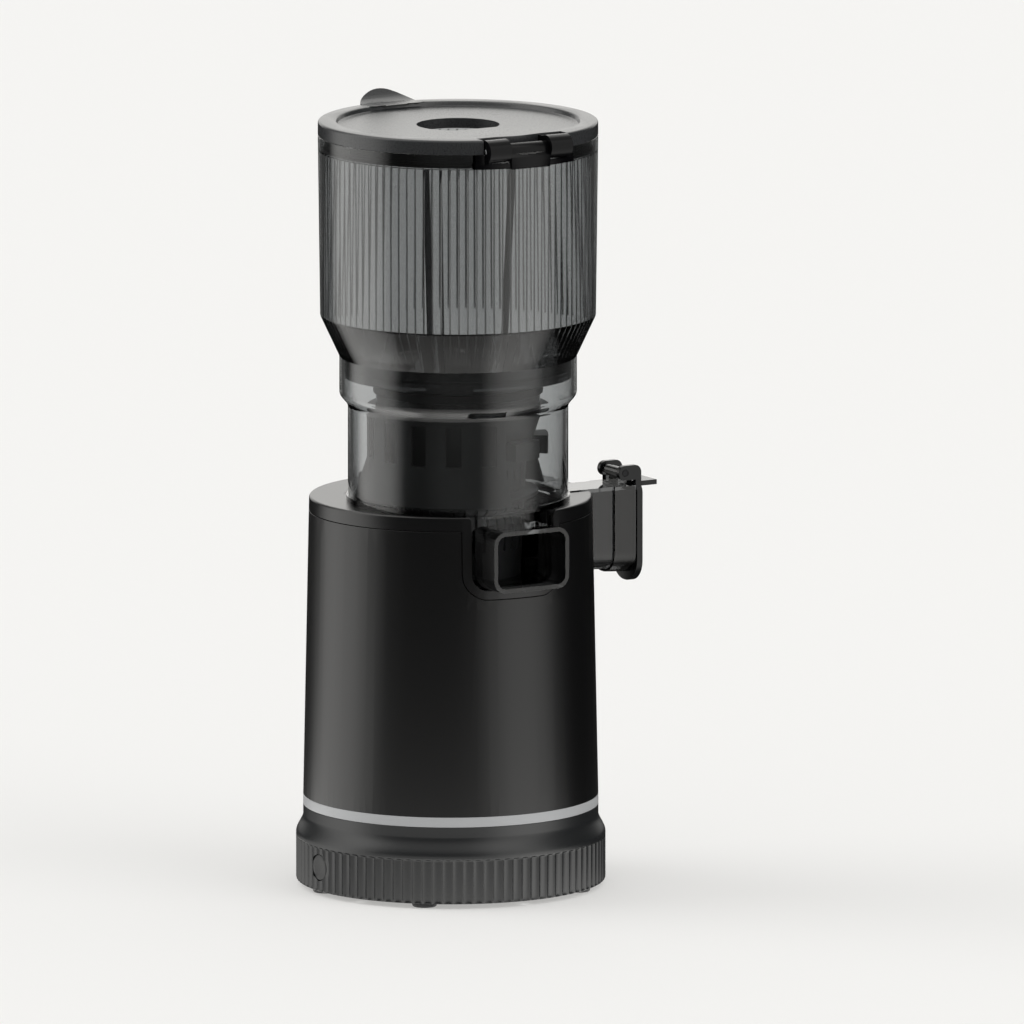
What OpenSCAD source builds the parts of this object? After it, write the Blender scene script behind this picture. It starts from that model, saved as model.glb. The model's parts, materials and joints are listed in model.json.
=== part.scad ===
// Upright cold press juicer: a round motor base, a smoke-clear bowl seated in
// the base, a fluted hopper on the bowl and a hinged lid with a feed hole.
// The front, where the juice runs out, is -Y, and the pulp leaves towards +X.
// Pieces are drawn about the base's axis, and `placed` centres the whole.

/* [Base] */
// How far the fluted plinth stands out past the housing
plinth_step = 4.3; // [3.8:0.1:5]
// Height of the plinth above its feet
plinth_h = 46; // [43:1:50]
// Height of the rubber feet under the plinth
foot_h = 3; // [2:0.5:5]
// Height of the light band between plinth and housing
band_h = 6; // [4:0.5:8]
// Outer radius of the housing where it leaves the light band
housing_r = 88.5; // [88:0.1:89.5]
// How much the housing's radius shrinks up to the deck
housing_draft = 3.7; // [3:0.1:4.2]
// Height of the housing up to the top face of the deck
housing_h = 181; // [178:1:190]
// Wall of the moulded housing parts
shell_wall = 3; // [2.4:0.1:3.4]
// Number of flutes round the plinth
plinth_flutes = 96; // [72:6:108]

/* [Bowl] */
// How far the bowl's axis stands to the left of the base's axis
bowl_left = 5; // [3:0.5:6]
// How far the bowl's axis stands in front of the base's axis
bowl_front = 17; // [14:0.5:17.5]
// Outer radius of the bowl above the deck
bowl_r = 65.9; // [65:0.1:66.6]
// Wall of the clear bowl
bowl_wall = 2.8; // [2.4:0.1:3.2]
// Depth of the bowl's seat in the base
seat_depth = 47; // [46:0.5:49]
// Height of the bowl above the deck
bowl_h = 87.5; // [85:0.5:95]
// Extra radius of the collar at the bowl's top
collar_step = 5.1; // [4.6:0.1:5.6]

/* [Spouts] */
// Distance from the bowl's axis to the mouth of the juice spout
juice_reach = 85.5; // [82:0.5:92]
// Outer width of the juice spout
juice_w = 52; // [46:0.5:54]
// Outer height of the juice spout
juice_h = 37; // [32:0.5:38]
// Distance from the bowl's axis to the end of the pulp spout
pulp_reach = 115.7; // [110:0.1:122]
// Outer width of the pulp spout
pulp_w = 25.6; // [24:0.2:28]
// Thickness of the pulp cap
cap_t = 4; // [3:0.2:5]
// Reach of the cap's thumb tab beyond the cap
cap_tab = 11; // [8:0.5:14]

/* [Hopper] */
// Outer radius of the hopper at its top
hopper_r = 83.7; // [82:0.1:85]
// Height of the cone that widens the hopper
cone_h = 24.5; // [22:0.5:28]
// Height of the fluted wall
flute_h = 100; // [90:1:115]
// Height of the smooth band above the flutes
smooth_h = 9; // [8:0.5:14]
// Wall of the hopper
hopper_wall = 2.8; // [2.6:0.1:3.2]
// Number of flutes round the hopper's inner face
hopper_flutes = 104; // [80:4:112]

/* [Lid] */
// Height of the lid's edge
lid_h = 8.5; // [8:0.5:11]
// Width of the lid's flat rim
rim_w = 12; // [10:0.5:14]
// Depth of the dished middle
dish_d = 2.8; // [1.5:0.1:3.2]
// Radius of the feed hole
feed_r = 24.8; // [22:0.2:28]
// Length of the whole lid hinge
hinge_len = 57; // [50:0.5:60]
// Length of the hopper's knuckle in the hinge
hinge_mid = 27.5; // [24:0.5:30]
// Reach of the lifting tab behind the lid
tab_reach = 9.3; // [8:0.1:11]
// Rise of the lifting tab above the lid
tab_rise = 7; // [4:0.5:9]

/* [Drive] */
// Module of the first gear pair
module_1 = 1; // [0.95:0.01:1.02]
// Module of the second gear pair
module_2 = 1.25; // [1.2:0.01:1.27]
// Teeth of each small gear
pinion_teeth = 18; // [17:1:19]
// Teeth of each large gear
wheel_teeth = 54; // [52:1:55]
// Radius of the output shaft
shaft_r = 6; // [5.5:0.1:6.5]
// Radius of the motor's can
motor_r = 40; // [36:0.5:42]
// Height of the motor's can
motor_h = 84; // [78:1:88]
// How much the strainer drum widens from its foot to its flange
drum_taper = 13.5; // [13:0.1:14.5]
// Turns that the auger's flights make
auger_turns = 1.5; // [1:0.25:2]

/* [Hidden] */
$fn = 96;
over = 1;            // overrun of every cut
run_gap = 0.05;      // radial clearance of a running fit
fit_gap = 0.3;       // clearance between pieces of different bodies
arc_steps = 6;       // steps of a rounded edge

// Heights and radii of the base
plinth_r = housing_r + plinth_step;
plinth_z = foot_h;
band_z = plinth_z + plinth_h;
housing_z = band_z + band_h;
deck_z = housing_z + housing_h;

// Feet, base plate and its screws
plate_t = 3;
plinth_wall = 2.6;
flute_d = 0.9;
rim_step = 0.1;       // how far the rims stand out past the flutes
plinth_in_r = plinth_r - flute_d - plinth_wall;
plate_r = plinth_in_r - fit_gap;
foot_r = 7.5;
foot_edge = 0.8;
foot_stem_r = 3;
foot_barb_r = 4.2;
foot_barb_h = 1.6;
foot_circle = plate_r - foot_r;
foot_angles = [-42, 38, 102, 180, 262];
screw_angles = [-70, 0, 70, 140, 220];
screw_r = 1.5;
screw_head_r = 3;
screw_head_h = 1.8;
boss_r = 4.6;
boss_h = 12;
boss_bite = 1;
boss_circle = plinth_in_r + boss_bite - boss_r;
vent_rows = 9;
vent_pitch = 7;
vent_w = 3;
vent_len = 50;

// Plinth
plinth_corner = 2.5;
flute_low = plinth_corner;
flute_high = 27.5;
waist_low = 28.5;
waist_high = 35;

// Light band
band_wall = 3.4;
band_lip = 4;

// Deck, well, notches and guard
skirt_h = 8.5;
deck_t = 3;
deck_edge = 1.5;
seat_step = 3.9;
seat_r = bowl_r - seat_step;
well_gap = 1.5;
well_r = seat_r + well_gap;
well_wall = 2.2;
well_floor_t = 2.5;
well_floor_gap = 3;
well_floor_z = deck_z - seat_depth - well_floor_gap;
apron = 5;
seam = 0.5;
notch_gap = 1.5;
notch_corner = 10;
lead_r = 3.5;
trough_gap = 3;
trough_wall = 2.4;
trough_run = 10;
trough_start = well_r - trough_run;
guard_gap = 0.8;
guard_t = 2.2;
guard_h = 11;
guard_edge = 1;
guard_fillet = 1.5;
guard_half = 50;

// Bowl
bowl_xy = [-bowl_left, -bowl_front];
bowl_z = deck_z - seat_depth;
bowl_top = deck_z + bowl_h;
bowl_floor = bowl_z + bowl_wall;
collar_r = bowl_r + collar_step;
collar_h = 22;
collar_z = bowl_top - collar_h;
flare_h = 8.5;
bead_step = 1.1;
bead_r = bowl_r + bead_step;
bead_h = 3.5;
seat_corner = 4;
hub_r = 17;
hub_h = 6;
seal_r = 13;
seal_h = 5;
seal_rise = 2;
root_r = seat_r - 2 * bowl_wall;

// Juice spout
spout_wall = 2.6;
juice_rise = 3.5;
juice_z = bowl_z + juice_rise;
juice_corner = 8;

// Pulp spout
pulp_over = 0.5;
pulp_top = deck_z + pulp_over;
pulp_rise = 3;
pulp_low = bowl_z + pulp_rise;
pulp_tilt = 4;
trough_low = pulp_low - (plinth_r + bowl_left) * tan(pulp_tilt) - notch_gap;
gasket_low = pulp_low - pulp_reach * tan(pulp_tilt);
pulp_ring = 1.5;
pulp_ring_len = 14.7;
pulp_seal_r = 8;
pulp_seal_h = 4;

// Cap, its hinge and gasket
gasket_t = 0.8;
gasket_w = 2.4;
cap_x = pulp_reach + gasket_t;
cap_w = pulp_w + 2 * pulp_ring;
cap_drop = 12;
cap_low = bowl_z - cap_drop;
cap_over = 1;
cap_top = pulp_top + cap_over;
cap_corner = 6;
cap_tab_t = 3;
cap_tab_w = 25;
cap_pin_r = 2;
cap_pin_back = 6.4;
cap_pin_x = pulp_reach - cap_pin_back;
cap_pin_up = 7.5;
cap_pin_z = pulp_top + cap_pin_up;
cap_barrel_r = 3;
cap_ear_r = 4.5;
cap_ear_t = 3.4;
cap_ear_y = 11;
cap_post_w = 2 * (cap_ear_y - cap_ear_t / 2 - fit_gap);

// Strainer
strainer_z = bowl_floor;
strainer_wall = 1.8;
strainer_gap = 0.9;
cage_wall = 1.8;
cage_gap = 8.5;
cage_r = bowl_r - bowl_wall - cage_gap;
cage_foot_gap = 1.1;
cage_foot_r = bowl_r - bowl_wall - cage_foot_gap;
cage_rise = 4;
cage_low = deck_z + cage_rise;
cage_bend = 26;
cage_knee = deck_z + cage_bend;
cage_open = 90;
cage_windows = 8;
cage_window_w = 9;
drum_top_r = cage_r - 2 * cage_wall;
drum_r = drum_top_r - drum_taper;
drum_rise = 3.5;
drum_step_up = 27;
drum_step_z = deck_z + drum_step_up;
drum_flare_up = 14;
drum_flare_z = drum_step_z + drum_flare_up;
drum_flare = 5;
strainer_up = 16;
strainer_top = drum_flare_z + strainer_up;
drum_ring_z = cage_low;
drum_ring_h = 4.5;
drum_ring_w = 10.5;
drum_ring_r = drum_r + drum_ring_w;
lug_rise = 2;
lug_z = drum_step_z + lug_rise;
lug_h = 11;
lug_t = 3;
lug_r = drum_top_r + lug_t;
lug_half = 12;
lug_angles = [20, 60];
slot_count = 18;
slot_w = 1.6;
slot_gap = 5;
pulp_door_w = 18;
pulp_door_h = 12;

// Auger, its socket and the cutting wing
auger_z = bowl_z + hub_h + bowl_wall;
auger_over = 8;
auger_top = strainer_top + auger_over;
auger_r = drum_r - strainer_gap - strainer_wall;
auger_grow = 6;
flight_d = 5.8;
auger_core_low = auger_r - flight_d;
core_share = 0.483;
auger_core_high = core_share * auger_core_low;
auger_levels = 44;
flight_starts = 2;
flight_half = 15;
flight_flank = 9;
flight_core_points = 5;
socket_r = 12.5;
socket_wall_r = 10;
socket_gap = 0.5;
socket_low = bowl_z + socket_gap;
hex_room = 2;
hex_gap = 0.35;
hex_h = 25;
wing_z = auger_top;
wing_h = 38;
wing_gap = 8;
wing_r = drum_top_r - wing_gap;
wing_hub_r = 12;
wing_tip_r = 6;
wing_turn = 140;
wing_levels = 20;
wing_points = 24;

// Hopper
hopper_z = bowl_top;
flute_z = hopper_z + cone_h;
smooth_z = flute_z + flute_h;
hopper_top = smooth_z + smooth_h;
hopper_draft = 1.3;
hopper_low_r = hopper_r - hopper_draft;
plug_r = collar_r - bowl_wall - fit_gap;
plug_h = 12;
throat_r = drum_top_r - strainer_wall;
throat_low = strainer_top + fit_gap;
throat_z = hopper_z - plug_h;
funnel_wall = 2.4;
hopper_flute_d = 0.8;
flute_r = hopper_low_r - hopper_wall - hopper_flute_d;
seal_bead = 1.6;
seal_drop = 5;
rib_angles = [-43, -7];
rib_t = 3;
rib_d = 2.5;

// Lid and its hinge
lid_z = hopper_top;
lid_top = lid_z + lid_h;
lid_wall = 2.5;
lid_edge = 1.8;
dish_r = hopper_r - rim_w;
dish_run = 7;
dish_fall = 0.8;
lip_t = 2;
lip_h = 8.5;
lid_seal_t = 1.2;
lip_r = hopper_r - hopper_wall - fit_gap - lid_seal_t;
lid_seal_h = 2;
feed_flat = 0.82 * feed_r;
feed_collar_h = 6;
feed_collar_t = 2.2;
hinge_r = 7;
hinge_in = 4.7;
hinge_y = hopper_r - hinge_in;
hinge_z = lid_top - hinge_r;
hinge_pin_r = 1.5;
hinge_gap = 0.5;
hinge_notch = hinge_r + hinge_gap;
hinge_step = 0.9;
hinge_mid_r = 4;
hinge_plate_t = 5.6;
hinge_plate_h = 11;
hinge_back = 9;
tab_half = 18.5;
tab_set = 3;
tab_points = 48;
tab_t = 2.4;
tab_root = 4;
tab_sink = 0.2;
tab_leaf_r = ((tab_reach + tab_root) * (tab_reach + tab_root) + tab_rise * tab_rise) / (2 * tab_rise);
tab_leaf_a = asin((tab_reach + tab_root) / tab_leaf_r);

// Gear train, with the motor behind the output shaft and the idler behind both
gear_angle = 20;
backlash = 0.15;
dedendum = 1.25;
face_1 = 8;
face_2 = 10;
gap_z = 1.2;
centre_1 = module_1 * (pinion_teeth + wheel_teeth) / 2;
centre_2 = module_2 * (pinion_teeth + wheel_teeth) / 2;
idler_xy = bowl_xy + [0, centre_2];
motor_xy = idler_xy - [0, centre_1];
cover_t = 3.5;
cover_z = well_floor_z - well_floor_t - cover_t;
case_wall = 3;
case_gap = 2;
case_h = 36;
case_z = cover_z - case_h;
stage_up = 5;
stage_1_z = case_z + case_wall + stage_up;
bridge_z = stage_1_z + face_1 + gap_z;
bridge_t = 3;
stage_2_z = cover_z - gap_z - face_2;
case_out_r = module_2 * (wheel_teeth / 2 + 1) + case_gap + case_wall;
case_idler_r = module_1 * (wheel_teeth / 2 + 1) + case_gap + case_wall;
idler_pin_r = 3;
idler_hub_r = 8;
bush_r = 11;
lower_bush_r = 8;
journal_step = 1;
journal_r = shaft_r - journal_step;
post_r = 5;
post_out = 1;
post_front = 4;
post_back = 6;
post_screw_r = 1.6;
post_head_r = 3.2;
post_head_h = 2;

// Motor
motor_z = case_z - motor_h;
can_wall = 2;
end_t = 3;
motor_shaft_r = 4;
motor_bush_r = 8;
motor_bush_h = 6;
stator_wall = 9;
stator_h = 50;
air_gap = 0.8;
core_z = motor_z + (motor_h - stator_h) / 2;
rotor_r = motor_r - can_wall - stator_wall - air_gap;
rotor_teeth = 12;
rotor_slot_w = 3;
rotor_slot_d = 8;
fan_r = 34;
fan_h = 9;
fan_blades = 9;
blade_t = 1.6;
fan_disc_t = 1.6;

// Board, switch, button and gland
board_size = [70, 44, 1.6];
board_xy = [10, 45];
board_lift = 6;
board_post_r = 3;
board_z = plinth_z + plate_t + board_lift;
button_r = 7.8;
button_up = 14.5;
button_t = 2.4;
button_flange = 1.4;
button_flange_t = 1.2;
button_stem_r = 2.4;
button_travel = 1.5;
button_inset = 0.3;
wall_gap = 0.8;
button_face = plinth_r - flute_d - button_inset;
button_back = plinth_in_r - button_flange_t - wall_gap;
switch_x = button_back - button_t - button_travel - fit_gap;
switch_size = [9, 12, 12];
switch_foot = 2;
gland_r = 7;
gland_bore_r = 3.6;
gland_flange_r = 9;
gland_flange_t = 2;
gland_up = 16;
gland_len = 14;

// Reach of the whole object from the base's axis, which centres its frame
right_reach = cap_x + cap_t + cap_tab - bowl_left;
front_reach = max(hinge_y + hinge_r, juice_reach) + bowl_front;
frame_x = (right_reach - plinth_r) / 2;
frame_y = (plinth_r - front_reach) / 2;

// Outer radius of the housing's cone at a height
function housing_at(z) = housing_r - housing_draft * (z - housing_z) / housing_h;

// Points on an arc about c, from angle a to angle b
function arc(c, r, a, b, n = arc_steps) =
    [for (i = [0:n]) c + r * [cos(a + (b - a) * i / n), sin(a + (b - a) * i / n)]];

// Smooth step from 0 to 1
function ease(t) = let (s = min(1, max(0, t))) s * s * (3 - 2 * s);

// Direction on the ground at an angle from the front, turning towards +X
function heading(a) = [sin(a), -cos(a)];

// Half the angle of an involute tooth at radius r
function tooth_half(m, n, r) =
    let (pitch = m * n / 2, at = acos(min(1, pitch * cos(gear_angle) / r)))
    90 / n - 90 / PI * backlash / pitch / 2 + (tan(gear_angle) - tan(at)) * 180 / PI - gear_angle + at;

// Outline of a spur gear with a tooth on +X
function gear_points(m, n) =
    let (pitch = m * n / 2, root = pitch - dedendum * m, tip = pitch + m,
         low = max(pitch * cos(gear_angle), root))
    [for (k = [0:n - 1]) each [
        for (s = [[root, -1, low], [low, -1, low], [pitch, -1, pitch], [tip, -1, tip],
                  [tip, 1, tip], [pitch, 1, pitch], [low, 1, low], [root, 1, low]])
            let (a = k * 360 / n + s[1] * tooth_half(m, n, s[2])) s[0] * [cos(a), sin(a)]]];

// Outline of a ring of flutes that dip inwards or outwards from a radius
function flute_points(n, r, depth) =
    [for (k = [0:n - 1]) each [for (s = [[0.15, 0], [0.5, 1], [0.85, 0]])
        let (a = (k + s[0]) * 360 / n) (r + depth * s[1]) * [cos(a), sin(a)]]];

module ring(outer, inner, low, high) {
    translate([0, 0, low]) difference() {
        cylinder(r = outer, h = high - low);
        translate([0, 0, -over]) cylinder(r = inner, h = high - low + 2 * over);
    }
}

module post(r, low, high) {
    translate([0, 0, low]) cylinder(r = r, h = high - low);
}

module turned(points) {
    rotate_extrude() polygon(points);
}

// Part of a full turn between two angles from the front
module sector(from, to, r, low, high) {
    n = ceil(abs(to - from) / 30);
    far = r / cos(15);
    translate([0, 0, low]) linear_extrude(high - low)
        polygon(concat([[0, 0]], [for (i = [0:n]) far * heading(from + (to - from) * i / n)]));
}

// Upright U with round lower corners, open upwards
module u_shape(w, low, high, r) {
    translate([-w / 2, low + r]) square([w, high - low - r]);
    translate([r - w / 2, low]) square([w - 2 * r, 2 * r]);
    for (s = [-1, 1]) translate([s * (w / 2 - r), low + r]) circle(r = r);
}

// Rectangle with four round corners
module soft_box(w, low, high, r) {
    translate([-w / 2, low + r]) square([w, high - low - 2 * r]);
    translate([r - w / 2, low]) square([w - 2 * r, high - low]);
    for (s = [-1, 1], z = [low + r, high - r]) translate([s * (w / 2 - r), z]) circle(r = r);
}

// Runs an upright outline from the bowl's axis towards the front
module forwards(from, to) {
    translate([0, -from, 0]) rotate([90, 0, 0]) linear_extrude(to - from) children();
}

// Runs an upright outline from the bowl's axis towards the pulp side
module sideways(from, to) {
    rotate([0, 0, 90]) forwards(from, to) children();
}

// Runs a side view, drawn as [towards +Y, up], along X about the middle
module across(w) {
    rotate([90, 0, 90]) translate([0, 0, -w / 2]) linear_extrude(w) children();
}

// Runs a side view, drawn as [towards +X, up], along Y about the middle
module along(w) {
    translate([0, w / 2, 0]) rotate([90, 0, 0]) linear_extrude(w) children();
}

// Closed skin through a stack of rings of points
module skin(rings) {
    n = len(rings[0]);
    k = len(rings);
    sides = [for (j = [0:k - 2]) for (i = [0:n - 1])
        let (a = j * n + i, b = j * n + (i + 1) % n) each [[a, a + n, b], [b, a + n, b + n]]];
    low = [for (i = [0:n - 1]) i];
    high = [for (i = [n - 1:-1:0]) (k - 1) * n + i];
    polyhedron(points = [for (r = rings) each r], faces = concat(sides, [low], [high]), convexity = 10);
}

module placed() {
    translate([-frame_x, -frame_y, 0]) children();
}

module on_bowl() {
    placed() translate(bowl_xy) children();
}

module on_motor() {
    placed() translate(motor_xy) children();
}

module foot(k) {
    color("#1d1d1e") placed() translate(foot_circle * heading(foot_angles[k])) {
        turned(concat([[0, 0]], arc([foot_r - foot_edge, foot_edge], foot_edge, -90, 0),
            [[foot_r, foot_h], [0, foot_h]]));
        post(foot_stem_r, foot_h, plinth_z + plate_t);
        post(foot_barb_r, plinth_z + plate_t, plinth_z + plate_t + foot_barb_h);
    }
}

module base_plate() {
    color("#2c2c2e") placed() {
        difference() {
            post(plate_r, plinth_z, plinth_z + plate_t);
            for (a = foot_angles) translate(foot_circle * heading(a)) post(foot_stem_r, 0, band_z);
            for (a = screw_angles) translate(boss_circle * heading(a)) {
                post(screw_r, 0, band_z);
                post(screw_head_r, 0, plinth_z + screw_head_h);
            }
            for (k = [0:vent_rows - 1])
                translate(motor_xy + [-vent_len / 2, (k - (vent_rows - 1) / 2) * vent_pitch - vent_w / 2])
                    cube([vent_len, vent_w, band_z]);
        }
        for (x = [-1, 1], y = [-1, 1])
            translate(board_xy + [x * (board_size[0] / 2 - board_post_r),
                y * (board_size[1] / 2 - board_post_r)])
                post(board_post_r, plinth_z + plate_t, plinth_z + plate_t + board_lift);
        translate([-switch_x, -switch_size[1] / 2, plinth_z + plate_t])
            cube([switch_size[0], switch_size[1], switch_foot]);
    }
}

module plate_screws() {
    color("#b4b6b8") placed() for (a = screw_angles) translate(boss_circle * heading(a)) {
        post(screw_head_r, plinth_z, plinth_z + screw_head_h);
        post(screw_r, plinth_z + screw_head_h, plinth_z + boss_h);
    }
}

module plinth() {
    color("#3a3a3c") placed() difference() {
        union() {
            translate([0, 0, plinth_z + flute_low]) linear_extrude(flute_high - flute_low)
                polygon(flute_points(plinth_flutes, plinth_r - rim_step, -flute_d));
            turned(concat([[0, plinth_z]],
                arc([plinth_r - plinth_corner, plinth_z + plinth_corner], plinth_corner, -90, 0),
                [[0, plinth_z + plinth_corner]]));
            turned(concat([[0, plinth_z + flute_high], [plinth_r, plinth_z + flute_high]],
                [for (i = [0:arc_steps]) [plinth_r - (plinth_r - housing_r) * ease(i / arc_steps),
                    plinth_z + waist_low + (waist_high - waist_low) * i / arc_steps]],
                [[housing_r, band_z], [0, band_z]]));
        }
        turned([[0, plinth_z - over], [plinth_in_r, plinth_z - over],
            [plinth_in_r, plinth_z + waist_low - plinth_wall],
            [housing_r - plinth_wall, plinth_z + waist_high - plinth_wall],
            [housing_r - plinth_wall, band_z + over], [0, band_z + over]]);
        translate([0, 0, plinth_z + button_up]) rotate([0, -90, 0])
            cylinder(r = button_r + fit_gap, h = plinth_r + over);
        translate([0, 0, plinth_z + gland_up]) rotate([-90, 0, 0]) cylinder(r = gland_r, h = plinth_r + over);
    }
    color("#3a3a3c") placed() for (a = screw_angles) translate(boss_circle * heading(a)) difference() {
        post(boss_r, plinth_z + plate_t, plinth_z + boss_h + plate_t);
        post(screw_r, 0, plinth_z + boss_h);
    }
}

module light_band() {
    color("#9d9fa1") placed() {
        ring(housing_r, housing_r - band_wall, band_z, housing_z);
        ring(housing_r - plinth_wall, housing_r - plinth_wall - band_wall, band_z - band_lip, band_z);
        ring(housing_r - plinth_wall, housing_r - plinth_wall - band_wall, band_z, band_z + band_h / 2);
    }
}

// Solid of the housing's cone, taken in by an inset, with its upper edge rounded
module cone(low, high, inset) {
    top_r = housing_at(high) - inset;
    turned(concat([[0, low], [housing_at(low) - inset, low]],
        arc([top_r - deck_edge, high - deck_edge], deck_edge, 0, 90), [[0, high]]));
}

// Wall of the housing's cone between two heights
module cone_wall(low, high) {
    difference() {
        turned([[0, low], [housing_at(low), low], [housing_at(high), high], [0, high]]);
        turned([[0, low - over], [housing_at(low) - shell_wall, low - over],
            [housing_at(high) - shell_wall, high + over], [0, high + over]]);
    }
}

module front_notch(grow) {
    translate(bowl_xy) forwards(0, plinth_r)
        u_shape(juice_w + 2 * (notch_gap + grow), juice_z - notch_gap - grow, deck_z + over,
            notch_corner + grow);
}

module side_notch(grow) {
    translate(bowl_xy) sideways(trough_start - grow, plinth_r + bowl_left)
        u_shape(pulp_w + 2 * (trough_gap + grow), trough_low - grow, deck_z + over, pulp_w / 2 + grow);
}

// Rounds off the two upper corners of the juice spout's notch
module notch_lead() {
    w = juice_w / 2 + notch_gap;
    translate(bowl_xy) forwards(0, plinth_r) for (s = [-1, 1])
        polygon([for (q = concat([[w - over, deck_z + over], [w - over, deck_z - lead_r]],
                arc([w + lead_r, deck_z - lead_r], lead_r, 180, 90), [[w + lead_r, deck_z + over]]))
            [s * q[0], q[1]]]);
}

module housing() {
    color("#2a2a2c") placed() difference() {
        cone_wall(housing_z, deck_z - skirt_h - seam);
        front_notch(apron + seam);
        side_notch(apron + seam);
        translate(bowl_xy) post(well_r + well_wall + seam, well_floor_z - well_floor_t - seam, deck_z);
    }
}

module deck() {
    color("#3c3c3e") placed() difference() {
        intersection() {
            cone(well_floor_z - 2 * apron - well_floor_t, deck_z, 0);
            union() {
                post(plinth_r, deck_z - deck_t, deck_z);
                cone_wall(deck_z - skirt_h, deck_z);
                intersection() {
                    cone_wall(well_floor_z - 2 * apron - well_floor_t, deck_z);
                    union() {
                        front_notch(apron);
                        side_notch(apron);
                    }
                }
                translate(bowl_xy) post(well_r + well_wall, well_floor_z - well_floor_t, deck_z);
                side_notch(trough_wall);
            }
        }
        translate(bowl_xy) {
            post(well_r, well_floor_z, deck_z + over);
            post(seal_r - over, 0, deck_z);
        }
        front_notch(0);
        notch_lead();
        side_notch(0);
    }
    color("#3c3c3e") on_bowl() intersection() {
        turned(concat([[bead_r + guard_gap, deck_z - over], [bead_r + guard_gap, deck_z + guard_h],
            [bead_r + guard_gap + guard_edge, deck_z + guard_h]],
            arc([bead_r + guard_gap + guard_t + guard_fillet, deck_z + guard_fillet], guard_fillet, 180, 270),
            [[bead_r + guard_gap + guard_t + guard_fillet, deck_z - over]]));
        sector(180 - guard_half, 180 + guard_half, plinth_r, deck_z - over, deck_z + guard_h);
    }
}

module shaft_seal() {
    color("#262626") on_bowl()
        ring(seal_r - over, shaft_r + fit_gap, well_floor_z - well_floor_t, well_floor_z + seal_rise);
}

// Outline of the gearbox, seen from above, taken in by an inset
module case_outline(inset) {
    translate(bowl_xy) circle(r = case_out_r - inset);
    translate(idler_xy) circle(r = case_idler_r - inset);
    translate([bowl_xy[0] - case_idler_r + inset, bowl_xy[1]])
        square([2 * (case_idler_r - inset), centre_2]);
}

post_places = [for (s = [-1, 1])
    each [bowl_xy + [s * (case_out_r + post_out), -post_front],
        idler_xy + [s * (case_idler_r + post_out), post_back]]];

module gearbox_case() {
    color("#8e9194") placed() difference() {
        union() {
            difference() {
                union() {
                    translate([0, 0, case_z]) linear_extrude(case_h) case_outline(0);
                    for (p = post_places) translate(p) post(post_r, case_z, cover_z);
                }
                translate([0, 0, case_z + case_wall]) linear_extrude(case_h) case_outline(case_wall);
            }
            translate(idler_xy) post(idler_hub_r, case_z, stage_1_z - gap_z);
            intersection() {
                translate([0, 0, bridge_z]) linear_extrude(bridge_t) case_outline(case_wall / 2);
                translate([bowl_xy[0] - case_out_r, bowl_xy[1] - case_out_r, bridge_z])
                    cube([2 * case_out_r, case_out_r + lower_bush_r + 2 * bridge_t, bridge_t]);
            }
            translate(bowl_xy) post(lower_bush_r + bridge_t, bridge_z, stage_2_z - gap_z);
        }
        translate(bowl_xy) post(lower_bush_r, bridge_z - over, stage_2_z);
        translate(idler_xy) post(idler_pin_r, case_z - over, stage_1_z);
        translate(motor_xy) post(motor_bush_r + fit_gap, case_z - over, stage_1_z - gap_z);
        for (p = post_places) translate(p) post(post_screw_r, case_z + case_wall, cover_z + over);
    }
}

module gearbox_cover() {
    color("#8e9194") placed() difference() {
        union() {
            translate([0, 0, cover_z]) linear_extrude(cover_t) case_outline(0);
            for (p = post_places) translate(p) post(post_r, cover_z, cover_z + cover_t);
        }
        translate(bowl_xy) post(bush_r, cover_z - over, well_floor_z);
        translate(idler_xy) post(idler_pin_r, cover_z - over, well_floor_z);
        for (p = post_places) translate(p) {
            post(post_screw_r, cover_z - over, well_floor_z);
            post(post_head_r, cover_z + cover_t - post_head_h, well_floor_z);
        }
    }
}

module gearbox_screws() {
    color("#b4b6b8") placed() for (p = post_places) translate(p) {
        post(post_screw_r, case_z + case_wall, cover_z + cover_t - post_head_h);
        post(post_head_r, cover_z + cover_t - post_head_h, cover_z + cover_t);
    }
}

module idler_pin() {
    color("#c0c2c4") placed() translate(idler_xy) post(idler_pin_r, case_z, cover_z + cover_t);
}

module lower_bush() {
    color("#b08d57") on_bowl() ring(lower_bush_r, journal_r + run_gap, bridge_z, stage_2_z - gap_z);
}

module upper_bush() {
    color("#b08d57") on_bowl() ring(bush_r, shaft_r + run_gap, cover_z, cover_z + cover_t);
}

module motor_can() {
    color("#7d8083") on_motor() {
        ring(motor_r, motor_r - can_wall, motor_z + end_t, case_z);
        ring(motor_r - can_wall, motor_bush_r, case_z - end_t, case_z);
    }
}

module motor_end() {
    color("#6e7174") on_motor() difference() {
        union() {
            post(motor_r, motor_z, motor_z + end_t);
            post(motor_bush_r + end_t, motor_z, motor_z + motor_bush_h);
        }
        post(motor_bush_r, motor_z - over, motor_z + motor_bush_h + over);
        for (k = [0:5]) rotate([0, 0, 60 * k]) translate([(motor_r + motor_bush_r) / 2, 0, 0])
            post(motor_bush_r / 2, motor_z - over, motor_z + end_t + over);
    }
}

module motor_bushes() {
    color("#b08d57") on_motor() {
        ring(motor_bush_r, motor_shaft_r + run_gap, motor_z, motor_z + motor_bush_h);
        ring(motor_bush_r, motor_shaft_r + run_gap, case_z - end_t, case_z + case_wall);
    }
}

module stator() {
    color("#57595c") on_motor()
        ring(motor_r - can_wall, motor_r - can_wall - stator_wall, core_z, core_z + stator_h);
}

module motor_shaft() {
    color("#c0c2c4") on_motor() post(motor_shaft_r, motor_z - fan_h - 2 * gap_z, stage_1_z + face_1);
}

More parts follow.
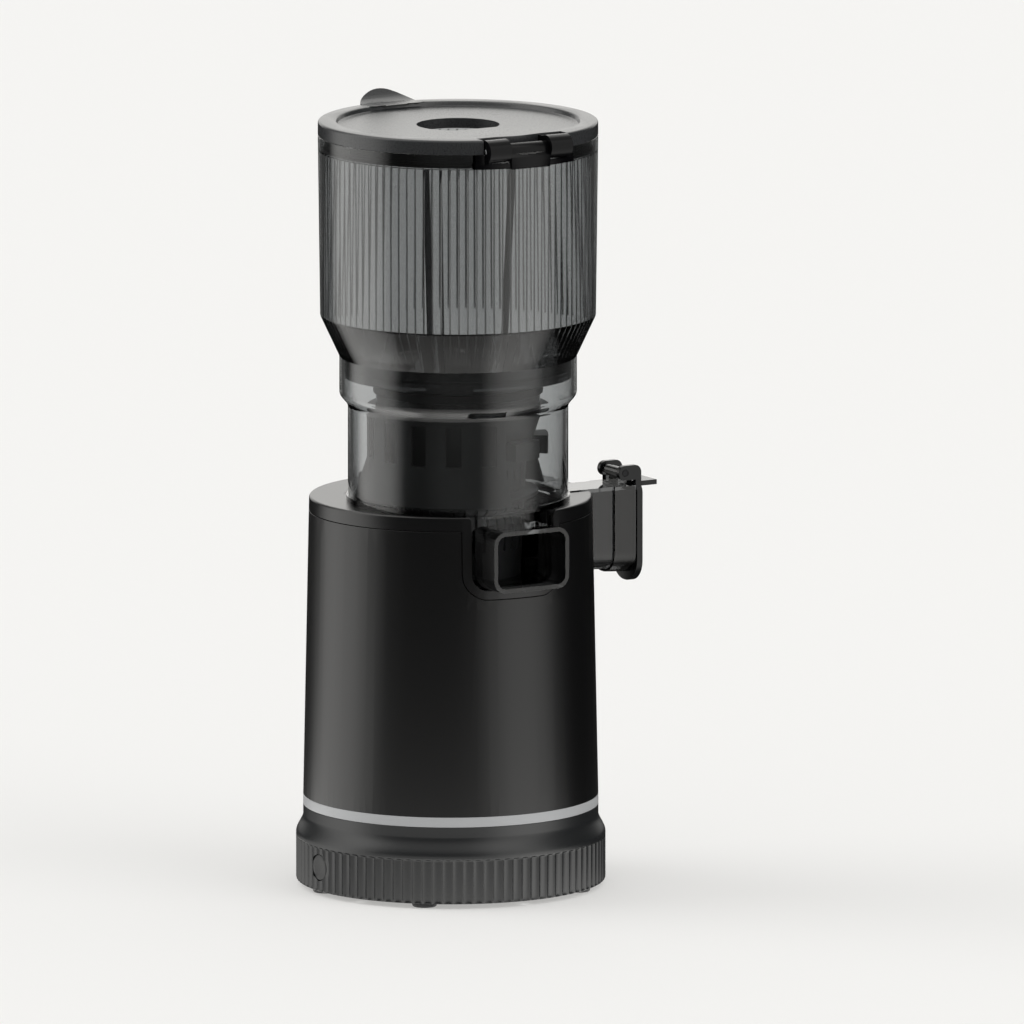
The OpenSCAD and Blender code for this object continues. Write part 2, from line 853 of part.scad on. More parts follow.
module rotor_core() {
    color("#9a5b32") on_motor() translate([0, 0, core_z]) linear_extrude(stator_h) difference() {
        circle(r = rotor_r);
        circle(r = motor_shaft_r);
        for (k = [0:rotor_teeth - 1]) rotate(k * 360 / rotor_teeth)
            translate([rotor_r - rotor_slot_d, -rotor_slot_w / 2])
                square([rotor_slot_d + over, rotor_slot_w]);
    }
}

module gear(m, n, face) {
    linear_extrude(face) polygon(gear_points(m, n));
}

module motor_pinion() {
    color("#c9c3b0") on_motor() difference() {
        translate([0, 0, stage_1_z]) rotate(90 + 180 / pinion_teeth) gear(module_1, pinion_teeth, face_1);
        post(motor_shaft_r, stage_1_z - over, stage_1_z + face_1 + over);
    }
}

module cooling_fan() {
    color("#222224") on_motor() translate([0, 0, motor_z - fan_h - gap_z]) {
        ring(fan_r, motor_shaft_r, fan_h - fan_disc_t, fan_h);
        ring(motor_bush_r, motor_shaft_r, 0, fan_h - fan_disc_t);
        for (k = [0:fan_blades - 1]) rotate(k * 360 / fan_blades)
            translate([motor_bush_r - over, -blade_t / 2, 0])
                cube([fan_r - motor_bush_r, blade_t, fan_h - fan_disc_t / 2]);
    }
}

module idler_gear() {
    color("#d8d4c4") placed() translate(idler_xy) difference() {
        union() {
            translate([0, 0, stage_1_z]) rotate(-90) gear(module_1, wheel_teeth, face_1);
            post(idler_hub_r, stage_1_z + face_1, stage_2_z);
            translate([0, 0, stage_2_z]) rotate(180 / pinion_teeth - 90) gear(module_2, pinion_teeth, face_2);
        }
        post(idler_pin_r + run_gap, stage_1_z - over, stage_2_z + face_2 + over);
    }
}

module output_gear() {
    color("#d8d4c4") on_bowl() difference() {
        translate([0, 0, stage_2_z]) rotate(90) gear(module_2, wheel_teeth, face_2);
        post(shaft_r, stage_2_z - over, stage_2_z + face_2 + over);
    }
}

module drive_shaft() {
    color("#c0c2c4") on_bowl() {
        post(journal_r, bridge_z, stage_2_z);
        post(shaft_r, stage_2_z, bowl_z + hex_gap);
        translate([0, 0, bowl_z + hex_gap]) cylinder(r = shaft_r, h = hex_h, $fn = 6);
    }
}

module control_board() {
    color("#1f5a35") placed() translate([board_xy[0], board_xy[1], board_z]) linear_extrude(board_size[2])
        soft_box(board_size[0], -board_size[1] / 2, board_size[1] / 2, board_post_r);
}

module board_parts() {
    color("#22262c") placed() translate([board_xy[0], board_xy[1], board_z + board_size[2]]) {
        translate([-board_size[0] / 3, 0, 0]) cylinder(r = board_size[1] / 6, h = board_size[1] / 3);
        cube([board_size[0] / 5, board_size[1] / 3, board_size[1] / 5]);
        translate([board_size[0] / 4, -board_size[1] / 3, 0])
            cube([board_size[0] / 8, board_size[1] / 4, board_size[1] / 6]);
    }
}

module power_switch() {
    color("#303236") placed()
        translate([-switch_x, -switch_size[1] / 2, plinth_z + plate_t + switch_foot]) cube(switch_size);
}

module power_button() {
    color("#2e2e30") placed() translate([0, 0, plinth_z + button_up]) rotate([0, -90, 0]) {
        post(button_r, button_back, button_face);
        post(button_r + button_flange, button_back, button_back + button_flange_t);
        post(button_stem_r, button_back - button_t, button_back);
    }
}

module cord_gland() {
    color("#232325") placed() translate([0, 0, plinth_z + gland_up]) rotate([-90, 0, 0]) difference() {
        union() {
            post(gland_r, plinth_in_r - gland_len / 2, plinth_r - gland_flange_t);
            post(gland_flange_r, plinth_in_r - gland_flange_t - wall_gap, plinth_in_r - wall_gap);
        }
        post(gland_bore_r, plinth_in_r - gland_len, plinth_r + over);
    }
}

module juice_channel(inset, to) {
    forwards(root_r - inset, to)
        soft_box(juice_w - 2 * inset, juice_z + inset, juice_z + juice_h - inset, juice_corner - inset);
}

// Length of the pulp spout, with its floor falling outwards and its roof level
module pulp_run(grow, from, to, roof) {
    intersection() {
        translate([0, 0, pulp_low]) rotate([0, pulp_tilt, 0]) translate([0, 0, -pulp_low])
            sideways(0, pulp_reach + cap_tab)
                u_shape(pulp_w + 2 * grow, pulp_low - grow, deck_z + seat_depth, pulp_w / 2 + grow - over);
        translate([from, -pulp_w, 0]) cube([to - from, 2 * pulp_w, roof]);
    }
}

module juice_bowl() {
    color("#4c4e50", 0.5) on_bowl() difference() {
        union() {
            turned(concat([[0, bowl_z]],
                arc([seat_r - seat_corner, bowl_z + seat_corner], seat_corner, -90, 0),
                [[seat_r, deck_z], [bead_r, deck_z], [bead_r, deck_z + bead_h], [bowl_r, deck_z + bead_h]],
                [for (i = [0:arc_steps]) [bowl_r + collar_step * ease(i / arc_steps),
                    collar_z - flare_h + flare_h * i / arc_steps]],
                [[collar_r, bowl_top], [0, bowl_top]]));
            juice_channel(0, juice_reach);
            pulp_run(0, root_r, pulp_reach, pulp_top);
            pulp_run(pulp_ring, pulp_reach - pulp_ring_len, pulp_reach, pulp_top);
            translate([cap_pin_x - cap_barrel_r, -cap_post_w / 2, pulp_top - spout_wall])
                cube([2 * cap_barrel_r, cap_post_w, cap_pin_z - pulp_top + spout_wall]);
            translate([cap_pin_x, 0, cap_pin_z]) along(cap_post_w) circle(r = cap_barrel_r);
        }
        turned(concat([[0, bowl_floor]],
            arc([seat_r - seat_corner, bowl_z + seat_corner], seat_corner - bowl_wall, -90, 0),
            [[seat_r - bowl_wall, deck_z - bowl_wall], [bowl_r - bowl_wall, deck_z + bead_h]],
            [for (i = [0:arc_steps]) [bowl_r - bowl_wall + collar_step * ease(i / arc_steps),
                collar_z - flare_h + flare_h * i / arc_steps]],
            [[collar_r - bowl_wall, bowl_top + over], [0, bowl_top + over]]));
        post(seal_r, 0, deck_z);
        juice_channel(spout_wall, juice_reach + over);
        pulp_run(-spout_wall, root_r - over, pulp_reach + over, pulp_top - spout_wall);
        translate([cap_pin_x, 0, cap_pin_z]) along(cap_w) circle(r = cap_pin_r);
    }
    color("#4c4e50", 0.5) on_bowl() ring(hub_r, seal_r, bowl_floor - bowl_wall / 2, bowl_z + hub_h);
}

module bowl_seal() {
    color("#2b2b2b") on_bowl() ring(seal_r, socket_wall_r + fit_gap, bowl_z, bowl_z + seal_h);
}

module pulp_seal() {
    color("#1c1c1c") on_bowl() translate([seat_r - bowl_wall - pulp_seal_r, 0, 0])
        post(pulp_seal_r / 2, bowl_floor, bowl_floor + pulp_seal_h);
}

module strainer_drum() {
    color("#6a6c6e") on_bowl() difference() {
        union() {
            turned([[0, strainer_z], [drum_r, strainer_z], [drum_r + drum_rise, drum_step_z],
                [drum_r + drum_rise + drum_flare, drum_flare_z], [drum_top_r, strainer_top],
                [0, strainer_top]]);
            turned([[0, drum_ring_z], [drum_ring_r, drum_ring_z],
                [drum_ring_r, drum_ring_z + drum_ring_h / 2], [drum_r, drum_ring_z + drum_ring_h],
                [0, drum_ring_z + drum_ring_h]]);
            for (a = lug_angles) intersection() {
                post(lug_r, lug_z, lug_z + lug_h);
                sector(a - lug_half, a + lug_half, bowl_r, lug_z, lug_z + lug_h);
            }
            ring(cage_r, drum_r, strainer_top - cage_wall, strainer_top);
        }
        turned([[hub_r + strainer_gap, strainer_z + strainer_wall],
            [drum_r - strainer_wall, strainer_z + strainer_wall],
            [drum_r + drum_rise - strainer_wall, drum_step_z],
            [drum_r + drum_rise + drum_flare - strainer_wall, drum_flare_z],
            [drum_top_r - strainer_wall, strainer_top + over], [hub_r + strainer_gap, strainer_top + over]]);
        post(hub_r + strainer_gap, 0, strainer_top + over);
        for (k = [0:slot_count - 1]) rotate((k + 0.5) * 180 / slot_count)
            translate([-drum_ring_r, -slot_w / 2, drum_ring_z + drum_ring_h + slot_gap])
                cube([2 * drum_ring_r, slot_w, drum_step_z - drum_ring_z - drum_ring_h - 2 * slot_gap]);
        for (k = [0:slot_count - 1]) rotate((k + 0.5) * 180 / slot_count)
            translate([-drum_ring_r, -slot_w / 2, strainer_z + pulp_door_h + slot_gap])
                cube([2 * drum_ring_r, slot_w, drum_ring_z - strainer_z - pulp_door_h - 2 * slot_gap]);
        translate([0, -pulp_door_w / 2, strainer_z + strainer_wall]) cube([bowl_r, pulp_door_w, pulp_door_h]);
    }
}

module strainer_cage() {
    color("#505254") on_bowl() difference() {
        intersection() {
            turned([[cage_foot_r - cage_wall, cage_low], [cage_foot_r, cage_low], [cage_r, cage_knee],
                [cage_r, strainer_top - cage_wall], [cage_r - cage_wall, strainer_top - cage_wall],
                [cage_r - cage_wall, cage_knee]]);
            sector(cage_open, 360, bowl_r, cage_low - over, strainer_top);
        }
        for (k = [0:cage_windows - 1]) rotate((k + 0.5) * 180 / cage_windows)
            translate([-bowl_r, -cage_window_w / 2, cage_knee + cage_wall])
                cube([2 * bowl_r, cage_window_w, strainer_top - cage_knee - 4 * cage_wall]);
    }
}

module cap_pin() {
    color("#c0c2c4") on_bowl() translate([cap_pin_x, 0, cap_pin_z])
        along(2 * cap_ear_y + cap_ear_t) circle(r = cap_pin_r);
}

module pulp_cap() {
    color("#3a3c3e") on_bowl() {
        difference() {
            union() {
                sideways(cap_x, cap_x + cap_t) {
                    u_shape(cap_w, cap_low, cap_top - cap_corner, cap_w / 2 - over);
                    soft_box(cap_w, cap_top - cap_w / 2, cap_top, cap_corner);
                }
                for (s = [-1, 1]) translate([0, s * cap_ear_y, 0]) along(cap_ear_t) {
                    translate([cap_pin_x, cap_pin_z]) circle(r = cap_ear_r);
                    translate([cap_x + cap_t - cap_ear_r, cap_pin_z]) circle(r = cap_ear_r);
                    translate([cap_pin_x, cap_pin_z - cap_ear_r])
                        square([cap_x + cap_t - cap_ear_r - cap_pin_x, 2 * cap_ear_r]);
                    translate([cap_x, cap_top - cap_w / 2]) square([cap_t, cap_pin_z - cap_top + cap_w / 2]);
                }
                translate([cap_x, -cap_tab_w / 2, cap_top - cap_tab_t + cap_over])
                    cube([cap_t + cap_tab, cap_tab_w, cap_tab_t]);
            }
            translate([cap_pin_x, 0, cap_pin_z]) along(2 * cap_w) circle(r = cap_pin_r + run_gap);
        }
    }
}

module cap_gasket() {
    color("#1f1f1f") on_bowl() sideways(pulp_reach, cap_x) difference() {
        u_shape(pulp_w, gasket_low, pulp_top - gasket_t, pulp_w / 2 - over);
        u_shape(pulp_w - 2 * gasket_w, gasket_low + gasket_w, pulp_top - gasket_t - gasket_w,
            pulp_w / 2 - gasket_w - over);
    }
}

// Outline of the auger at a height: a round core with its flights turned with the height
function auger_ring(t) =
    let (z = auger_z + (auger_top - auger_z) * t,
         core = auger_core_low + (auger_core_high - auger_core_low) * ease(t),
         tip = auger_r + auger_grow * ease((z - drum_step_z) / (drum_flare_z - drum_step_z)),
         out = core + (tip - core) * ease((1 - t) * 8) * ease(0.5 + t * 20),
         turn = 360 * auger_turns * t,
         gap = 360 / flight_starts - 2 * flight_half)
    [for (s = [0:flight_starts - 1]) each concat(
        [for (f = [-flight_half, -flight_flank, flight_flank, flight_half])
            let (a = turn + s * 360 / flight_starts + f, r = abs(f) > flight_flank ? core : out)
            [r * cos(a), r * sin(a), z]],
        [for (i = [1:flight_core_points])
            let (a = turn + s * 360 / flight_starts + flight_half + gap * i / (flight_core_points + 1))
            [core * cos(a), core * sin(a), z]])];

module auger_screw() {
    color("#303234") on_bowl() difference() {
        skin([for (i = [0:auger_levels]) auger_ring(i / auger_levels)]);
        post(socket_r, 0, auger_z + hex_h);
    }
}

module auger_socket() {
    color("#b4b6b8") on_bowl() difference() {
        union() {
            post(socket_wall_r, socket_low, auger_z);
            post(socket_r, auger_z, auger_z + hex_h);
        }
        translate([0, 0, socket_low - over])
            cylinder(r = shaft_r + hex_gap, h = bowl_z + hex_h + hex_room - socket_low + over, $fn = 6);
    }
}

// Outline of the wing at a height: a hub with one blade that sweeps round as it rises
function wing_ring(t) =
    let (z = wing_z + wing_h * t,
         hub = wing_hub_r + (wing_tip_r - wing_hub_r) * t,
         reach = (wing_r - hub) * ease(t * 3) * ease((1 - t) * 1.6),
         turn = wing_turn * t)
    [for (i = [0:wing_points - 1])
        let (a = 360 * i / wing_points, blade = pow((1 + cos(a)) / 2, 6), r = hub + reach * blade)
        [r * cos(a + turn), r * sin(a + turn), z]];

module cutting_wing() {
    color("#26282a") on_bowl() skin([for (i = [0:wing_levels]) wing_ring(i / wing_levels)]);
}

module hopper_shell() {
    color("#55585a", 0.5) on_bowl() difference() {
        union() {
            difference() {
                turned([[0, throat_z], [plug_r, throat_z], [plug_r, hopper_z], [collar_r, hopper_z],
                    [hopper_low_r, flute_z], [hopper_r, hopper_top], [0, hopper_top]]);
                turned([[0, throat_z + funnel_wall], [throat_r, throat_z + funnel_wall],
                    [plug_r - hopper_wall, hopper_z], [flute_r - hopper_flute_d, flute_z],
                    [flute_r - over, flute_z], [flute_r - over, smooth_z],
                    [hopper_r - hopper_wall, smooth_z], [hopper_r - hopper_wall, hopper_top + over],
                    [0, hopper_top + over]]);
                translate([0, 0, flute_z]) linear_extrude(flute_h)
                    polygon(flute_points(hopper_flutes, flute_r, hopper_flute_d));
            }
            post(throat_r, throat_low, throat_z + over);
            for (a = rib_angles) rotate(a) intersection() {
                translate([-rib_t / 2, -hopper_r, hopper_z + over])
                    cube([rib_t, hopper_r, smooth_z - hopper_z - 2 * over]);
                difference() {
                    turned([[0, hopper_z], [collar_r - over, hopper_z], [hopper_low_r - over, flute_z],
                        [hopper_low_r - over, smooth_z], [0, smooth_z]]);
                    turned([[0, hopper_z - over], [plug_r - hopper_wall - rib_d, hopper_z - over],
                        [flute_r - rib_d, flute_z], [flute_r - rib_d, smooth_z + over],
                        [0, smooth_z + over]]);
                }
            }
            translate([0, -hinge_y, 0]) across(hinge_mid - 2 * fit_gap) {
                translate([0, hinge_z]) circle(r = hinge_mid_r);
                translate([-hinge_plate_t, hinge_z - hinge_plate_h])
                    square([hinge_plate_t + hinge_mid_r / 2, hinge_plate_h]);
            }
        }
        post(throat_r - funnel_wall, throat_low - over, throat_z + funnel_wall + over);
        for (s = [-1, 1]) translate([s * (hinge_len + hinge_mid) / 4, -hinge_y, 0])
            across((hinge_len - hinge_mid) / 2 + 2 * fit_gap) {
                translate([-2 * hinge_r, hinge_z - hinge_notch])
                    square([2 * hinge_r + hinge_notch, hinge_r + hinge_notch]);
            }
        translate([0, -hinge_y, hinge_z]) across(hinge_len) circle(r = hinge_pin_r);
    }
}

module hopper_seal() {
    color("#2a2a2a") on_bowl()
        ring(throat_r + seal_bead, throat_r, throat_z - 2 * seal_drop, throat_z - seal_drop);
}

module lid_pin() {
    color("#c0c2c4") on_bowl() translate([0, -hinge_y, hinge_z]) across(hinge_len) circle(r = hinge_pin_r);
}

// Room that the hinge takes from the lid's rim
module hinge_room() {
    translate([-hinge_len / 2 - 2 * fit_gap, -hopper_r - over, lid_z - lip_h - over])
        cube([hinge_len + 4 * fit_gap, hopper_r + over - hinge_y + hinge_back,
            lip_h + lid_h + 2 * over]);
}

module lid() {
    color("#3b3b3d") on_bowl() difference() {
        union() {
            difference() {
                turned(concat([[feed_r, lid_top - dish_d - feed_collar_h],
                    [feed_r + feed_collar_t, lid_top - dish_d - feed_collar_h],
                    [feed_r + feed_collar_t, lid_top - dish_d - dish_fall - lid_wall],
                    [dish_r - dish_run, lid_top - dish_d - lid_wall], [lip_r - lip_t, lid_z],
                    [lip_r - lip_t, lid_z - lip_h], [lip_r, lid_z - lip_h], [lip_r, lid_z],
                    [hopper_r, lid_z]],
                    arc([hopper_r - lid_edge, lid_top - lid_edge], lid_edge, 0, 90),
                    [for (i = [0:arc_steps])
                        [dish_r - dish_run * i / arc_steps, lid_top - dish_d * ease(i / arc_steps)]],
                    [[feed_r, lid_top - dish_d - dish_fall]]));
                hinge_room();
            }
            for (s = [-1, 1]) translate([s * (hinge_len + hinge_mid) / 4, -hinge_y, 0])
                across((hinge_len - hinge_mid) / 2) {
                    translate([0, hinge_z]) circle(r = hinge_r);
                    translate([0, lid_z + fit_gap])
                        square([hinge_back + lid_wall, lid_h - hinge_step - fit_gap]);
                }
            translate([0, 0, lid_top - dish_d - feed_collar_h]) intersection() {
                post(feed_r + over, 0, feed_collar_h - dish_fall);
                translate([-feed_r, -feed_r - over, 0])
                    cube([2 * feed_r, feed_r + over - feed_flat, feed_collar_h]);
            }
            intersection() {
                across(2 * tab_half) translate([hopper_r, lid_top - tab_sink])
                    polygon(concat(arc([-tab_root, tab_leaf_r], tab_leaf_r, -90, -90 + tab_leaf_a),
                        arc([-tab_root, tab_leaf_r], tab_leaf_r + tab_t, -90 + tab_leaf_a, -90)));
                translate([0, hopper_r - tab_set, lid_z]) linear_extrude(lid_h + 2 * tab_rise)
                    polygon([for (i = [0:tab_points - 1]) let (a = (i + 0.5) * 360 / tab_points)
                        [tab_half * cos(a), (tab_reach + tab_set) * sin(a)]]);
            }
        }
        translate([0, -hinge_y, hinge_z]) across(hinge_len + over) circle(r = hinge_pin_r + run_gap);
    }
}

module lid_gasket() {
    color("#2a2a2a") on_bowl() difference() {
        ring(lip_r + lid_seal_t, lip_r, lid_z - lip_h, lid_z - lip_h + lid_seal_h);
        hinge_room();
    }
}

foot(0);  // foot_1
foot(1);  // foot_2
foot(2);  // foot_3
foot(3);  // foot_4
foot(4);  // foot_5
base_plate();
plate_screws();
plinth();
light_band();
housing();
deck();
shaft_seal();
gearbox_case();
gearbox_cover();
gearbox_screws();
idler_pin();
lower_bush();
upper_bush();
motor_can();
motor_end();
motor_bushes();
stator();
motor_shaft();
rotor_core();
motor_pinion();
cooling_fan();
idler_gear();
output_gear();
drive_shaft();
control_board();
board_parts();
power_switch();
power_button();
cord_gland();
juice_bowl();
bowl_seal();
pulp_seal();
strainer_drum();
strainer_cage();
cap_pin();
pulp_cap();
cap_gasket();
auger_screw();
auger_socket();
cutting_wing();
hopper_shell();
hopper_seal();
lid_pin();
lid();
lid_gasket();
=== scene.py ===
"""Upright cold press juicer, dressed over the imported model.

The front, where the juice runs out, is -Y. Sizes are in millimetres until a mesh is made, and an
angle round an axis is counted from +X towards +Y.
"""
import json
import math

import bmesh
import bpy
import numpy as np
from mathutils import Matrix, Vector


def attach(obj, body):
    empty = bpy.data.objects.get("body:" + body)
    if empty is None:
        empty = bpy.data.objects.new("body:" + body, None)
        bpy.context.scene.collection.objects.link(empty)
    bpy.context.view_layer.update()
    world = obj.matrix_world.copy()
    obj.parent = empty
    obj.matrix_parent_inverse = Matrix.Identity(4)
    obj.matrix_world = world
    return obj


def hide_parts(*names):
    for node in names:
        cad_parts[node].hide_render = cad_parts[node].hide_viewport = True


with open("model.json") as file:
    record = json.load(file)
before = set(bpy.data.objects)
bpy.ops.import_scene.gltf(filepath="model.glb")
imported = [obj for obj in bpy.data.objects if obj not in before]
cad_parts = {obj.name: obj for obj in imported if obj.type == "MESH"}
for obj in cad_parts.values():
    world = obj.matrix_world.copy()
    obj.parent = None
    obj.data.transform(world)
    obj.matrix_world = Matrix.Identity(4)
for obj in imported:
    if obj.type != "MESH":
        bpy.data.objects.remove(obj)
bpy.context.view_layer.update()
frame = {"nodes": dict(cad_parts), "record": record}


# Camera: a long lens far away, left of the front and a little above the deck, as for a catalogue
# picture. It looks at a point beside the base's axis at half the juicer's height.
def placed(name, data):
    """Puts an object with the given data in the scene, at the origin."""
    made = bpy.data.objects.new(name, data)
    bpy.context.collection.objects.link(made)
    return made


base_axis = np.array((-16.85, 5.1))
turn, rise = math.radians(-31), math.radians(9.5)
away, beside, above = 17.72, 0.0367, 0.2252  # in metres, as is the camera's place
right = np.array((math.cos(turn), math.sin(turn)))
look = np.array((*(base_axis / 1000 + beside * right), above))
back = np.array((math.sin(turn) * math.cos(rise), -math.cos(turn) * math.cos(rise), math.sin(rise)))
lens = bpy.data.cameras.new("camera")
lens.sensor_width, lens.lens, lens.clip_end = 36, 1040.6, 200
camera = placed("camera", lens)
camera.location = look + away * back
camera.rotation_euler = (math.pi / 2 - rise, 0, turn)
bpy.context.scene.camera = camera
bpy.context.scene.view_settings.view_transform = "Standard"


# Studio: a white room with an even dome. Shiny parts see a broad soft sheet of light at the left
# and at the right front, a white wall behind, and darkness round the camera.
def linear(hexes):
    """sRGB hex to linear red, green, blue and an alpha of 1: c / 12.92 below 0.04045, else
    ((c + 0.055) / 1.055) ** 2.4."""
    c = np.array([int(hexes[i:i + 2], 16) / 255 for i in (1, 3, 5)])
    return (*np.where(c < 0.04045, c / 12.92, ((c + 0.055) / 1.055) ** 2.4).tolist(), 1.0)


def add(tree, kind, **inputs):
    """Adds a node. A key that is a property of the node is set on it, and any other names an input
    socket (a number after in_, or its name), which takes a value or a (node, output) link."""
    made = tree.nodes.new(kind)
    for key, value in inputs.items():
        if not key.startswith("in_") and hasattr(made, key):
            setattr(made, key, value)
            continue
        name = key.removeprefix("in_")
        socket = made.inputs[int(name)] if name.isdigit() else made.inputs[name.replace("_", " ")]
        if isinstance(value, tuple) and isinstance(value[0], bpy.types.Node):
            tree.links.new(value[0].outputs[value[1]], socket)
        else:
            socket.default_value = value
    return made


def bearing(angle):
    """Level direction at an angle from the camera's side of the juicer, in degrees to the right."""
    a = turn + math.radians(angle)
    return math.sin(a), -math.cos(a), 0.0


def both(tree, a, b, operation="ADD"):
    """Sum, or another result, of two values; each is a (node, output) link or a number."""
    return add(tree, "ShaderNodeMath", operation=operation, in_0=a, in_1=b), 0


def lights(tree, way, sheets, level):
    """Light from one way: a level plus soft sheets of (angle, reach, strength). A sheet gives its
    strength where way points at its angle, and smoothly less down to 0 at reach degrees off it."""
    for angle, reach, strength in sheets:
        near = add(tree, "ShaderNodeVectorMath", operation="DOT_PRODUCT", in_0=way, in_1=bearing(angle))
        sheet = add(tree, "ShaderNodeMapRange", interpolation_type="SMOOTHSTEP", Value=(near, "Value"),
                    From_Min=math.cos(math.radians(reach)), From_Max=1.0, To_Min=0.0, To_Max=strength)
        level = both(tree, level, (sheet, 0))
    return level


# Clear parts show bright straight behind them, grey at the other three sides and dark between,
# so that a thick edge or a rib that bends the view reads dark.
sides = (-93, 40, 2.2), (56, 37, 1.5)
wall = 180, 44, 1.7
through, through_level = ((180, 24, 0.8), (0, 40, 0.25), (-95, 40, 0.75), (75, 40, 0.6)), 0.14
paper = linear("#f1f0ed")
world = bpy.data.worlds.new("studio")
bpy.context.scene.world = world
world.use_nodes = True
tree = world.node_tree
tree.nodes.clear()
rays = add(tree, "ShaderNodeLightPath")
where = add(tree, "ShaderNodeTexCoord")
level_way = add(tree, "ShaderNodeVectorMath", operation="MULTIPLY", in_0=(where, "Generated"),
                in_1=(1, 1, 0.12))
level_way = add(tree, "ShaderNodeVectorMath", operation="NORMALIZE", in_0=(level_way, 0))
height = add(tree, "ShaderNodeSeparateXYZ", in_0=(where, "Generated"))
overhead = add(tree, "ShaderNodeMapRange", interpolation_type="SMOOTHSTEP", Value=(height, 2),
               From_Min=0.4, From_Max=1.0, To_Min=0.0, To_Max=1.0)
shiny = lights(tree, (level_way, 0), (*sides, wall), (overhead, 0))
seen = add(tree, "ShaderNodeBackground", Color=paper, Strength=shiny)
dome = add(tree, "ShaderNodeBackground", Color=(1, 1, 1, 1), Strength=0.8)
behind = lights(tree, (level_way, 0), through, through_level)
beyond = add(tree, "ShaderNodeBackground", Color=paper, Strength=behind)
plain = add(tree, "ShaderNodeBackground", Color=paper, Strength=1)
for ray, light in (("Is Diffuse Ray", dome), ("Is Transmission Ray", beyond), ("Is Camera Ray", plain)):
    seen = add(tree, "ShaderNodeMixShader", in_0=(rays, ray), in_1=(seen, 0), in_2=(light, 0))
add(tree, "ShaderNodeOutputWorld", Surface=(seen, 0))


# Floor: seamless white paper. Part of its white is its own, and the rest takes the soft shadow.
# In shiny parts it shows bright close by, as exp(-distance / fade), and carries the sheets on.
def bare_material(name):
    """A new material with an empty node tree."""
    made = bpy.data.materials.new(name)
    made.use_nodes = True
    made.node_tree.nodes.clear()
    return made


half, fade = 60, 0.3  # in metres
mesh = bpy.data.meshes.new("floor")
mesh.from_pydata([(-half, -half, 0), (half, -half, 0), (half, half, 0), (-half, half, 0)], [], [(0, 1, 2, 3)])
floor = placed("floor", mesh)
floor_paper = bare_material("studio_paper")
tree = floor_paper.node_tree
rays = add(tree, "ShaderNodeLightPath")
where = add(tree, "ShaderNodeTexCoord")
far = add(tree, "ShaderNodeVectorMath", operation="LENGTH", in_0=(where, "Object"))
way = add(tree, "ShaderNodeVectorMath", operation="NORMALIZE", in_0=(where, "Object"))
fall = both(tree, math.exp(-1 / fade), (far, "Value"), "POWER")
facing = add(tree, "ShaderNodeVectorMath", operation="DOT_PRODUCT", in_0=(way, 0), in_1=bearing(0))
facing = add(tree, "ShaderNodeMapRange", interpolation_type="SMOOTHSTEP", Value=(facing, "Value"),
             From_Min=-0.3, From_Max=1.0, To_Min=0.1, To_Max=3.1)
mirrored = lights(tree, (way, 0), sides, both(tree, fall, (facing, 0), "MULTIPLY"))
glow = add(tree, "ShaderNodeEmission", Color=paper, Strength=0.425)
matte = add(tree, "ShaderNodeBsdfDiffuse", Color=(0.48, 0.478, 0.472, 1))
seen = add(tree, "ShaderNodeAddShader", in_0=(glow, 0), in_1=(matte, 0))
dull = add(tree, "ShaderNodeBsdfDiffuse", Color=(0.7, 0.698, 0.69, 1))
gleam = add(tree, "ShaderNodeEmission", Color=paper, Strength=mirrored)
beyond = add(tree, "ShaderNodeEmission", Color=paper, Strength=lights(tree, (way, 0), through, through_level))
for ray, light in (("Is Diffuse Ray", dull), ("Is Glossy Ray", gleam), ("Is Transmission Ray", beyond)):
    seen = add(tree, "ShaderNodeMixShader", in_0=(rays, ray), in_1=(seen, 0), in_2=(light, 0))
add(tree, "ShaderNodeOutputMaterial", Surface=(seen, 0))
mesh.materials.append(floor_paper)

# Lamps: two very soft suns shine in from the same sides. They lay the two faint long shadows on
# the floor, and shiny parts don't mirror them.
softness = math.radians(50)
for name, angle, tilt, power in (("lamp_left", -100, 28, 1.0), ("lamp_right", 60, 25, 0.9)):
    sun = bpy.data.lights.new(name, "SUN")
    sun.energy, sun.angle = power, softness
    lamp = placed(name, sun)
    x, y, _ = bearing(angle)
    lift = math.radians(tilt)
    toward = Vector((x * math.cos(lift), y * math.cos(lift), math.sin(lift)))
    lamp.rotation_euler = (-toward).to_track_quat("-Z", "Y").to_euler()
    lamp.visible_glossy = lamp.visible_transmission = False


